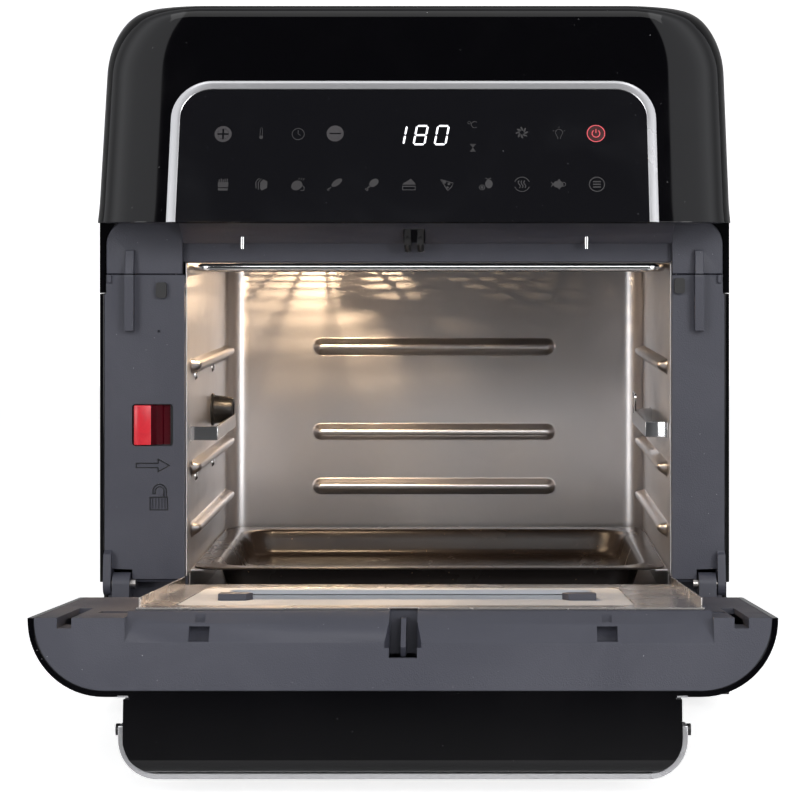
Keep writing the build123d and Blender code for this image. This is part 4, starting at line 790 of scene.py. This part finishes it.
# %% [markdown]
# Every piece gets a bevel as wide as its real edges look, in millimetres. A few
# pieces look different from their slot's plain finish: the window's plate is
# blasted dull, the fin is dark, and the two folded strips mirror like chrome.

# %% Eased edges on the measured pieces
OTHER_LOOK = {"window_retainer": "retainer", "catch_fin": "charcoal",
              "release_arm": "chrome", "spit_bracket": "chrome"}
EASED = {
    "front_frame": 0.5, "upper_bezel": 0.5, "door_inner_frame": 0.0, "door_shell": 0.5,
    "handle_core": 0.5, "handle_strip": 0.4, "release_arm": 0.25,
    "spit_bracket": 0.25, "door_catch": 0.4, "door_liner": 0.25, "window_retainer": 0.5,
    "glass_clips": 0.3, "catch_fin": 0.25,
    "side_panel_left": 0.4, "side_panel_right": 0.4, "base_pan": 0.5, "rear_cover": 0.4,
    "door_bumpers": 0.4, "cavity_rivets": 0.5, "door_plunger_left": 0.3, "door_plunger_right": 0.3,
    "feet": 0.8, "cover_screws": 0.3, "handle_studs": 0.4, "cord_inlet": 0.4,
}
for node, width in EASED.items():
    eased(node, width)
print("eased pieces:", len(EASED))

# %% [markdown]
# The housing is one moulded sheet. At every height its outline from above is a
# U with round front corners; the U steps back with the leaning front, narrows
# into the shoulders, and rolls over the crown. Each row of points has a height,
# the place of its front and its half width.

# %% Rows of the top housing
SIDE, PLAN_CORNER, ROLL, HOUSING_BACK = 165.0, 34.0, 12.0, Y0 + 274.8
FOOT_Y = Y0 - OVERHANG
ARCH_LOW, ARCH_HIGH = 306.0, 332.0  # rows stand close together round the arch's corners

roll_height = CROWN - ROLL + ROLL * sin(LEAN)  # where the leaning front turns into the roll
roll_y = FOOT_Y + (roll_height - PANEL_FOOT) * tan(LEAN)
heights = np.concatenate([PANEL_FOOT + np.array([0.0, 0.4, 0.8]), np.arange(PANEL_FOOT + 5.0, ARCH_LOW, 5.0),
                          np.arange(ARCH_LOW, ARCH_HIGH, 1.3), np.arange(ARCH_HIGH, roll_height, 2.6)])
roll = np.linspace(LEAN, pi / 2, 9)
row_z = np.concatenate([heights, CROWN - ROLL + ROLL * np.sin(roll)])
row_y = np.concatenate([FOOT_Y + (heights - PANEL_FOOT) * tan(LEAN),
                        roll_y + ROLL * (cos(LEAN) - np.cos(roll))])
foot_draft = np.interp(row_z, [PANEL_FOOT, PANEL_FOOT + 8.0], [0.0, 0.5])
row_half = SIDE - foot_draft - ellipse_inset(row_z, *SHOULDER)
print("rows of the housing:", len(row_z), "up to", round(float(row_z[-1])), "mm")

# %% [markdown]
# Behind the control panel the sheet is sunk, under cover of the bright strip.
# The sunk field eases in by 3t^2 - 2t^3. The wall is thinner in the lowest rows,
# so that its inner side doesn't reach below the foot.

# %% Top housing
SINK_DEPTH, SINK_INSET, SINK_EASE = 1.4, 0.9, 3.0
HOUSING_WALL, FOOT_SHARE = 3.0, (0.05, 0.3, 0.6)  # the wall, and its share in the lowest rows
ARCH_NEAR, ARCH_FAR = 98.0, 129.0  # columns stand close together round the arch's sides

arc = np.linspace(0.0, pi / 2, 15)[1:-1]
flat = np.concatenate([np.arange(0.0, ARCH_NEAR, 14.0), np.arange(ARCH_NEAR, ARCH_FAR, 1.3),
                       [SIDE - PLAN_CORNER]])
flat = np.concatenate([-flat[:0:-1], flat]) / (SIDE - PLAN_CORNER)
share = np.array([1.0, 0.998, 0.99, 0.75, 0.5, 0.3, 0.15, 0.06, 0.015, 0.0])  # from the back to the corner
half, front = row_half[:, None], row_y[:, None]
side_y = front + PLAN_CORNER + share * (HOUSING_BACK - front - PLAN_CORNER)
arc_x = half - PLAN_CORNER + PLAN_CORNER * np.cos(arc)
arc_y = front + PLAN_CORNER - PLAN_CORNER * np.sin(arc)
side_x, flat_y = np.broadcast_to(half, side_y.shape), np.broadcast_to(front, (len(row_y), len(flat)))
sheet_x = np.concatenate([-side_x, -arc_x, flat * (half - PLAN_CORNER), arc_x[:, ::-1], side_x], axis=1)
sheet_y = np.concatenate([side_y, arc_y, flat_y, arc_y[:, ::-1], side_y[:, ::-1]], axis=1)
sheet_z = np.broadcast_to(row_z[:, None], sheet_x.shape)

past_x = np.maximum(np.abs(sheet_x) - (ARCH_HALF - ARCH_RADIUS), 0.0)
past_up = np.maximum((sheet_z - PANEL_FOOT) / cos(LEAN) - slope + ARCH_RADIUS, 0.0)
t = np.clip((ARCH_RADIUS - np.hypot(past_x, past_up) - SINK_INSET) / SINK_EASE, 0.0, 1.0)
sunk = SINK_DEPTH * t * t * (3.0 - 2.0 * t) * (sheet_y < front + 0.01)
points = np.stack([sheet_x, sheet_y + sunk * cos(LEAN), sheet_z - sunk * sin(LEAN)], -1)

members = np.arange(sheet_x.size).reshape(sheet_x.shape)
housing = new_piece("housing_sheet", points, grid_faces(*sheet_x.shape) + [members[-1].tolist()],
                    FINISH["gloss_black"], "chassis", "gloss_black")
smooth_by_angle(housing, 35.0)
wall_share = housing.vertex_groups.new(name="wall share")
for row, thin in zip(members, FOOT_SHARE):
    wall_share.add(row.tolist(), thin, "REPLACE")
wall_share.add(members[len(FOOT_SHARE):].ravel().tolist(), 1.0, "REPLACE")
thicken(housing, HOUSING_WALL).vertex_group = wall_share.name
print("housing:", members.shape[0], "rows of", members.shape[1], "points")

# %% [markdown]
# Below the control panel the housing goes on beside the mouth. That part is cut
# from the measured piece at the panel's foot, because its forms are plain.

# %% Housing's lower skirt
mesh, work = merged_copy("top_housing")
bmesh.ops.bisect_plane(work, geom=work.verts[:] + work.edges[:] + work.faces[:], dist=1e-7, clear_outer=True,
                       plane_co=(0.0, 0.0, PANEL_FOOT * MM), plane_no=(0.0, 0.0, 1.0))
join_flats(work)
work.to_mesh(mesh)
work.free()
smooth_by_angle(add_piece("housing_skirt", mesh, FINISH["gloss_black"], "chassis"))
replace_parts(housing, "top_housing")
print("skirt:", len(mesh.vertices), "points")

# %% [markdown]
# Under the red button the frame carries two moulded marks: an arrow and an
# open padlock. Each is a thin low ridge that follows the mark's outline, in a
# black darker than the frame: painted shade where the moulded outline lies in shadow.
# A ridge is a row of small wedges, one for every stretch of the line.

# %% Marks on the frame
def ridges(name, lines, width, height):
    """Low wedges along lines on the frame's front: two feet and a crest at both ends of every stretch."""
    start = np.concatenate([line[:-1] for line in lines])
    end = np.concatenate([line[1:] for line in lines])
    along = (end - start) / np.linalg.norm(end - start, axis=1, keepdims=True)
    aside = np.stack([-along[:, 1], along[:, 0]], 1) * width / 2
    near, far = start - along * width / 4, end + along * width / 4
    flat = np.stack([near + aside, near, near - aside, far + aside, far, far - aside], 1)
    out = np.broadcast_to([0.0, height, 0.0, 0.0, height, 0.0], flat.shape[:2])
    wedge = ((0, 1, 4, 3), (1, 2, 5, 4), (0, 2, 1), (3, 4, 5))
    faces = [[6 * k + v for v in face] for k in range(len(start)) for face in wedge]
    # The ridges are real but low; their black, darker than the charcoal frame, is painted shade along the
    # moulded outline.
    new_piece(name, np.stack([flat[..., 0], Y0 - out, flat[..., 1]], -1), faces,
              FINISH["black_plastic"], "chassis", "black_plastic", smooth=False)


arrow_middle, lock_middle = np.array([-137.25, 129.0]), np.array([-134.05, 109.0])
arrow_line = np.array([(-8.75, -1.2), (2.75, -1.2), (2.75, -3.4), (8.75, 0.0), (2.75, 3.4), (2.75, 1.2),
                       (-8.75, 1.2), (-8.75, -1.2)]) + arrow_middle
case_line = np.array([(-4.65, -3.3), (4.65, -3.3), (4.65, 3.4), (-4.65, 3.4), (-4.65, -3.3)]) + lock_middle
sweep = np.linspace(0.0, pi, 13)
bow, bow_middle = np.stack([np.cos(sweep), np.sin(sweep)], 1), [0.45, 6.6]
shackle_line = np.concatenate([[(4.05, 3.4)], bow * 3.6 + bow_middle, [(-3.15, 5.2), (-1.75, 5.2)],
                               bow[::-1] * 2.2 + bow_middle, [(2.65, 3.4)]]) + lock_middle
hatch = [np.array([(x, -2.6), (x, 2.7)]) + lock_middle for x in (-3.2, -1.6, 0.0, 1.6, 3.2)]
ridges("frame_marks", [arrow_line, case_line, shackle_line], 0.55, 0.25)
ridges("padlock_hatch", hatch, 0.30, 0.15)
print("marks: arrow and padlock, with", len(hatch), "lines of hatch")

# %% [markdown]
# The symbols are printed behind the lens in a dim grey that only just shows.
# Each symbol is a few flat shapes: discs, rings, strokes of even width and
# filled outlines, all laid a hair above the panel so that they catch no light.

# %% Flat shapes for printed symbols
def disc(x, y, r, count=28):
    """A filled circle: points at even angles round the middle."""
    angle = np.linspace(0.0, 2 * pi, count, endpoint=False)
    return [(np.stack([x + r * np.cos(angle), y + r * np.sin(angle)], 1), [list(range(count))])]


def ring(x, y, outer, inner, start=0.0, end=360.0, count=36):
    """A band between two circles, from one angle to another."""
    angle = np.radians(np.linspace(start, end, count))
    unit = np.stack([np.cos(angle), np.sin(angle)], 1)
    points = np.concatenate([unit * outer, unit * inner]) + [x, y]
    k = np.arange(count - 1)
    return [(points, np.stack([k, k + 1, k + 1 + count, k + count], 1)[:, ::-1].tolist())]


def stroke(points, width=0.55):
    """A line of even width: each point moves half the width to both sides."""
    p = np.asarray(points, float)
    along = np.gradient(p, axis=0)
    along /= np.linalg.norm(along, axis=1, keepdims=True)
    side = np.stack([-along[:, 1], along[:, 0]], 1) * width / 2
    k = np.arange(len(p) - 1)
    faces = np.stack([k, k + 1, k + 1 + len(p), k + len(p)], 1)[:, ::-1].tolist()
    return [(np.concatenate([p + side, p - side]), faces)]


def fill(points):
    """A filled outline, its points counter-clockwise."""
    return [(np.asarray(points, float), [list(range(len(points)))])]


def printed(name, symbols, material, slot, out=0.06):
    """Lays symbols on the panel: each is (middle x, height up the slope, shapes)."""
    points, faces, first = [], [], 0
    for x, up, shapes in symbols:
        for flat, own in shapes:
            points.append(on_panel(flat[:, 0] + x, flat[:, 1] + up, np.full(len(flat), out)))
            faces += [[first + v for v in face] for face in own]
            first += len(flat)
    new_piece(name, np.concatenate(points), faces, material, "chassis", slot, smooth=False)


def wave(x, low, high, swing=0.5, count=14):
    """An upright wavy line, for steam."""
    y = np.linspace(low, high, count)
    return stroke(np.stack([x + swing * np.sin((y - low) / (high - low) * 2 * pi), y], 1), 0.5)


def blob(x, y, a, b, turn=0.0, count=26):
    """A filled ellipse, turned by an angle in degrees."""
    angle = np.linspace(0.0, 2 * pi, count, endpoint=False)
    flat = np.stack([a * np.cos(angle), b * np.sin(angle)], 1)
    c, s = cos(radians(turn)), sin(radians(turn))
    return [(flat @ np.array([[c, s], [-s, c]]) + [x, y], [list(range(count))])]


def bar(x0, y0, x1, y1):
    """A filled rectangle from its lower left to its upper right corner."""
    return fill([(x0, y0), (x1, y0), (x1, y1), (x0, y1)])


print("shape makers ready")

# %% [markdown]
# The upper row has the controls. Its plus sign is what four filled quarters
# leave free in a ring, and its minus sign is the gap between two filled halves.

# %% Signs of the upper row
plus_disc = ring(0, 0, 4.4, 2.9)
for a in np.arange(4) * pi / 2:
    rim = [(2.9 * cos(a + turn), 2.9 * sin(a + turn)) for turn in (0.16, pi / 4, pi / 2 - 0.16)]
    plus_disc += fill([(0.45 * (cos(a) - sin(a)), 0.45 * (sin(a) + cos(a)))] + rim)
minus_disc = ring(0, 0, 4.4, 2.9)
for a in (0, pi):
    minus_disc += fill([(2.88 * cos(t + a), 2.88 * sin(t + a)) for t in np.linspace(0.12, pi - 0.12, 20)])
thermometer = disc(0, -2.3, 1.0) + stroke([(-0.55, -1.4), (-0.55, 2.4), (0, 3.1), (0.55, 2.4), (0.55, -1.4)],
                                          0.3)
clock = ring(0, 0, 3.3, 2.9) + stroke([(0, 2.0), (0, 0), (1.3, -0.8)], 0.35)
fan_sign = []
for a in np.arange(8) * 45:
    fan_sign += blob(2.1 * cos(radians(a)), 2.1 * sin(radians(a)), 1.25, 0.5, a + 24)
lamp_sign = ring(0, 0.6, 2.0, 1.65, -50, 230)
for side in (1, -1):
    lamp_sign += stroke([(side * 1.3, -0.9), (side * 0.7, -2.1), (side * 0.7, -2.9)], 0.35)
for a in np.radians([20, 90, 160]):
    lamp_sign += stroke([(2.5 * cos(a), 0.6 + 2.5 * sin(a)), (3.3 * cos(a), 0.6 + 3.3 * sin(a))], 0.35)
degree_c = ring(-1.9, 1.3, 0.85, 0.55) + ring(0.9, 0.2, 1.9, 1.5, 50, 310)
hourglass = (bar(-1.5, 1.7, 1.5, 2.1) + bar(-1.5, -2.1, 1.5, -1.7)
             + fill([(-1.2, 1.6), (0.0, -0.1), (1.2, 1.6)]) + fill([(-1.2, -1.6), (1.2, -1.6), (0.0, 0.1)]))
print("signs of the upper row ready")

# %% [markdown]
# The lower row shows what can be cooked: chips in a carton, bread, a roast, a
# skewer, a drumstick, cake, pizza, fruit, steam, fish and a list of the rest.

# %% Signs of the lower row
fries = (fill([(-2.4, -3.4), (2.4, -3.4), (2.6, -2.1), (-2.6, -2.1)])
         + fill([(-2.6, -1.6), (2.6, -1.6), (2.7, 1.2), (-2.7, 1.2)]))
for x in (-2.0, -1.0, 0.0, 1.0, 2.0):
    fries += bar(x - 0.28, 1.2, x + 0.28, 2.6 + 0.5 * (x % 2))
bread = (fill([(0.4, -3.4), (3.2, -2.0), (3.3, 1.6), (1.2, 2.7), (-0.4, 1.2), (-0.4, -2.2)])
         + stroke([(-1.2, -2.9), (-1.4, 0.9), (-0.4, 2.4), (0.4, 3.0)], 0.45)
         + stroke([(-2.4, -2.2), (-2.6, 1.1), (-1.8, 2.5), (-0.8, 3.2)], 0.45))
meat = (blob(-0.6, -0.6, 3.0, 2.5, 35) + stroke([(0.2, 2.5), (0.8, 3.5)], 0.35)
        + stroke([(1.4, 2.4), (2.0, 3.5)], 0.35) + stroke([(2.5, 2.2), (3.1, 3.3)], 0.35)
        + stroke([(1.4, -3.4), (3.0, -3.3), (3.3, -1.7), (2.0, -0.4)], 0.4))
skewer = (blob(0.9, 0.9, 3.2, 1.5, 38) + stroke([(-2.0, -1.6), (-3.6, -2.9)], 0.5)
          + blob(-3.4, -3.0, 0.7, 0.4, -30))
drumstick = (blob(0.9, 0.8, 2.7, 1.9, 42) + stroke([(-1.2, -1.1), (-2.7, -2.6)], 0.75)
             + blob(-2.9, -2.5, 0.6, 0.5) + blob(-2.5, -3.0, 0.6, 0.5))
cake = (fill([(-3.4, -0.2), (3.4, -0.2), (3.2, 0.6), (1.0, 3.0), (-3.0, 0.4)])
        + bar(-3.4, -1.4, 3.4, -0.8) + bar(-3.4, -3.2, 3.4, -2.8)
        + bar(-3.4, -2.8, -3.0, -1.4) + bar(3.0, -2.8, 3.4, -1.4))
pizza = (stroke([(-3.2, 2.6), (0.4, -3.4)], 0.5)
         + stroke([(-3.2, 2.6), (3.2, 0.6), (2.2, -1.6), (0.4, -3.4)], 0.5)
         + blob(-1.6, 1.2, 1.1, 0.8, -30) + disc(1.0, 0.2, 0.7) + disc(0.3, -1.7, 0.6))
fruit = (blob(1.5, 0.2, 1.9, 2.4) + ring(-2.0, -1.7, 1.5, 1.1) + disc(-2.0, -1.7, 0.7)
         + stroke([(-0.2, 3.4), (1.0, 2.7), (2.6, 3.4)], 0.45))
steam_ring = (ring(0, 0, 4.1, 3.7, 20, 160) + ring(0, 0, 4.1, 3.7, 200, 340)
              + wave(-1.4, -2, 2) + wave(0, -2, 2) + wave(1.4, -2, 2))
fish = (blob(-0.3, 0, 2.6, 1.9) + ring(2.3, 0, 1.3, 0.9)
        + fill([(-4.2, 1.6), (-2.2, 0), (-4.2, -1.6), (-3.4, 0)])
        + fill([(-0.8, 1.7), (1.0, 1.6), (0.2, 3.0)]) + fill([(-0.6, -1.7), (0.2, -2.9), (0.9, -1.6)]))
menu_ring = (ring(0, 0, 4.1, 3.6) + bar(-2.0, 1.1, 2.0, 1.8) + bar(-2.0, -0.35, 2.0, 0.35)
             + bar(-2.0, -1.8, 2.0, -1.1))
print("signs of the lower row ready")

# %% [markdown]
# Every sign has its place from the middle of the panel and its height up the
# slope. The plus and the minus are a little brighter than the others.

# %% The two rows of symbols
TOP_ROW, LOW_ROW = 48.2, 20.6
dim_symbols = [(-97.8, TOP_ROW, plus_disc), (-40.2, TOP_ROW + 0.3, minus_disc)]
faint_symbols = [
    (-78.2, TOP_ROW + 0.5, thermometer), (-59.2, TOP_ROW, clock), (55.8, TOP_ROW + 0.8, fan_sign),
    (74.9, TOP_ROW + 0.2, lamp_sign),
    (-96.8, LOW_ROW, fries), (-77.5, LOW_ROW, bread), (-58.6, LOW_ROW, meat),
    (-39.7, LOW_ROW, skewer), (-20.8, LOW_ROW, drumstick), (-2.0, LOW_ROW, cake), (17.4, LOW_ROW, pizza),
    (37.3, LOW_ROW, fruit), (55.7, LOW_ROW, steam_ring), (74.5, LOW_ROW, fish), (93.9, LOW_ROW, menu_ring),
    (30.6, TOP_ROW + 5.0, degree_c), (30.6, TOP_ROW - 7.6, hourglass),
]
ink = finish("dim ink", (0.040, 0.036, 0.040), (0.034, 0.031, 0.034), (0.35, 0.5), patch=15.0)
faint = finish("faint ink", (0.026, 0.024, 0.026), (0.021, 0.020, 0.022), (0.35, 0.5), patch=15.0)
printed("plus_and_minus", dim_symbols, ink, "panel_glass")
printed("panel_symbols", faint_symbols, faint, "panel_glass")
print("symbols:", len(dim_symbols) + len(faint_symbols))

# %% [markdown]
# The lit number is made of seven bars to a figure, cut at a slant. The power
# button is a red ring. Both glow by their own light. Round the ring lies a faint
# red glow that is painted glow: a dark red disc with no light of its own.

# %% Lit number and power button
def glowing(name, tint, strength):
    """Light from a printed face, a little uneven as over one small lamp."""
    made = finish(name, tint, tuple(0.8 * c for c in tint), (0.4, 0.5), patch=3.0)
    shader = made.node_tree.nodes["Principled BSDF"]
    shader.inputs["Emission Color"].default_value = (*tint, 1.0)
    shader.inputs["Emission Strength"].default_value = strength
    return made


def figure(lit, wide=5.6, tall=10.2, thick=0.95, gap=0.25, lean=0.17):
    """One seven-bar figure: six-sided bars along the edges of two squares."""
    h, w, t = tall / 2, wide / 2, thick / 2
    across = np.array([(-w + gap, 0), (-w + t + gap, t), (w - t - gap, t), (w - gap, 0),
                       (w - t - gap, -t), (-w + t + gap, -t)])[::-1]
    upright = np.array([(0, gap), (t, t + gap), (t, h - t - gap), (0, h - gap),
                        (-t, h - t - gap), (-t, t + gap)])
    spots = {"a": across + [0, h], "g": across, "d": across + [0, -h], "f": upright + [-w, 0],
             "b": upright + [w, 0], "e": upright + [-w, -h], "c": upright + [w, -h]}
    shapes = [spots[key] for key in lit]
    return [(s + np.stack([s[:, 1] * lean, np.zeros(len(s))], 1), [list(range(6))]) for s in shapes]


digits = [(-7.0, TOP_ROW - 0.6, figure("bc")), (3.8, TOP_ROW - 0.6, figure("abcdefg")),
          (14.6, TOP_ROW - 0.6, figure("abcdef"))]
printed("lit_number", digits, glowing("white light", (0.95, 0.95, 1.0), 1.1), "display", out=0.08)
power_at = (93.9, TOP_ROW + 0.3)
power = ring(0, 0, 4.7, 4.3) + ring(0, 0, 2.2, 1.8, 125, 415) + bar(-0.2, 0.3, 0.2, 2.4)
printed("power_sign", [(*power_at, power)], glowing("red light", (0.75, 0.10, 0.12), 0.45),
        "display", out=0.08)
# Painted glow round the power sign: a dark red disc with no light of its own.
painted_red_glow = finish("painted red glow", (0.045, 0.004, 0.006), (0.03, 0.003, 0.005), (0.3, 0.4), patch=5.0)
printed("power_glow", [(*power_at, disc(0, 0, 4.2))], painted_red_glow, "display", out=0.05)
print("figures:", len(digits))

# %% [markdown]
# Some small pieces are round or waisted in a way that a plain bevel can't give.
# Each is turned on a lathe: a profile of distances along the axis and radii is
# swept round a line along X.

# %% Turned pieces in the cooking space
def turned(profile, centre, count=40):
    """Rows of (place along X, radius) swept round a line along X: y = r cos a, z = r sin a."""
    rows = np.asarray(profile, float)
    angle = np.linspace(0.0, 2 * pi, count, endpoint=False)
    along = np.repeat(rows[:, :1], count, axis=1)
    y, z = rows[:, 1:] * np.cos(angle), rows[:, 1:] * np.sin(angle)
    points = np.stack([along + centre[0], y + centre[1], z + centre[2]], 2).reshape(-1, 3)
    return points, grid_faces(len(rows), count, closed=True)


def joined(parts):
    """Several point and face lists as one."""
    points, faces, first = [], [], 0
    for own_points, own_faces in parts:
        points.append(own_points)
        faces += [[first + v for v in face] for face in own_faces]
        first += len(own_points)
    return np.concatenate(points), faces


spit_axis = (LEFT, Y0 + 115.0, 150.0)
cup = [(-14.3, 0.2), (-14.3, 4.0), (0.5, 4.0), (0.5, 9.4), (1.0, 9.45), (1.6, 9.4), (2.0, 8.9), (2.4, 8.3),
       (12.5, 7.1), (13.0, 6.8), (13.2, 6.3), (13.1, 5.0), (12.8, 4.55), (2.3, 4.5), (2.2, 0.2)]
cup_skin = new_piece("spit_cup_turned", *turned(cup, spit_axis), FINISH["cup"], "spit_drive", "black_plastic")
smooth_by_angle(cup_skin, 40.0)
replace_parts(cup_skin, "spit_socket")

dome = [(0.0, 2.9), (0.5, 2.9), (1.2, 2.6), (1.8, 1.95), (2.15, 1.15), (2.25, 0.15)]
places = [(38.6, 174.3), (115.7, 174.3), (38.6, 119.8), (115.7, 119.8)]
heads = joined([turned(dome, (LEFT, Y0 + y, z), 24) for y, z in places])
new_piece("rivet_domes", *heads, FINISH["chrome"], "chassis", "chrome")
print("turned pieces: cup and", len(places), "rivet domes")

# %% [markdown]
# The red button is a bar with two flat facets at its left and a long hollow at
# its right, where a fingertip pushes it. One outline is drawn from above and
# pulled up; its top and bottom edges are eased by two smaller outlines. The
# black plate behind it closes the slot while the button slides.

# %% Red button
button_low, button_high = 139.8, 160.6
outline = np.array([
    (-147.1, 3.3), (-147.1, -0.5), (-146.8, -1.25), (-146.0, -1.58), (-143.6, -1.55), (-143.2, -1.5),
    (-138.4, -1.5), (-138.0, -1.3), (-136.0, 1.7), (-135.2, 2.2), (-132.4, 2.3), (-131.8, 3.22),
    (-128.4, 3.22), (-128.4, 3.3),
])
toward = np.array([-139.6, 1.0]) - outline
toward /= np.linalg.norm(toward, axis=1, keepdims=True)
# height of each outline, and how far it is drawn in
levels = [(button_low, 0.5), (button_low + 0.15, 0.2), (button_low + 0.5, 0.0),
          (button_high - 0.5, 0.0), (button_high - 0.15, 0.2), (button_high, 0.5)]
layers = []
for height, ease in levels:
    layer = outline + toward * ease
    layers.append(np.column_stack([layer[:, 0], Y0 + layer[:, 1], np.full(len(layer), height)]))
numbers = np.arange(len(levels) * len(outline)).reshape(len(levels), -1)
button_faces = grid_faces(*numbers.shape) + [numbers[0, ::-1].tolist(), numbers[-1].tolist()]
button = new_piece("red_button", np.concatenate(layers), button_faces, FINISH["red_plastic"],
                   "release", "red_plastic")
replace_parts(button, "release_slider")
smooth_by_angle(button, 28.0)

HOLLOW_FROM = -137.9  # the hollow lies to the right of this
# The front faces of the hollow get a much darker red: painted shade where the hollow lies in shadow.
button.data.materials.append(finish("red painted shade", (0.058, 0.001, 0.005), (0.044, 0.001, 0.004), (0.4, 0.5),
                                    shine=0.12, patch=8.0))
for face in button.data.polygons:
    face.material_index = int(face.center.x > HOLLOW_FROM * MM and face.normal.y < -0.2)
boxes("button_plate", [[(-153.1, Y0 + 3.3, 136.2), (-126.8, Y0 + 5.3, 164.2)]],
      FINISH["black_plastic"], "release", "black_plastic")
print("button facets:", len(button_faces))

# %% [markdown]
# A small lamp behind the guard lights the upper left of the cooking space. Its
# warm light falls through the wires and draws their slanted shadows.

# %% Oven lamp
LAMP_POWER, LAMP_TINT, LAMP_RADIUS = 2.9, (1.0, 0.72, 0.45), 0.004
LAMP_AT = (-0.062, FRONT + 0.042, 0.2575)
glow = bpy.data.lights.new("oven lamp", "POINT")
glow.energy, glow.color, glow.shadow_soft_size = LAMP_POWER, LAMP_TINT, LAMP_RADIUS
oven_lamp = bpy.data.objects.new("oven lamp", glow)
oven_lamp.location = LAMP_AT
scene.collection.objects.link(oven_lamp)
print("oven lamp:", LAMP_POWER, "W")
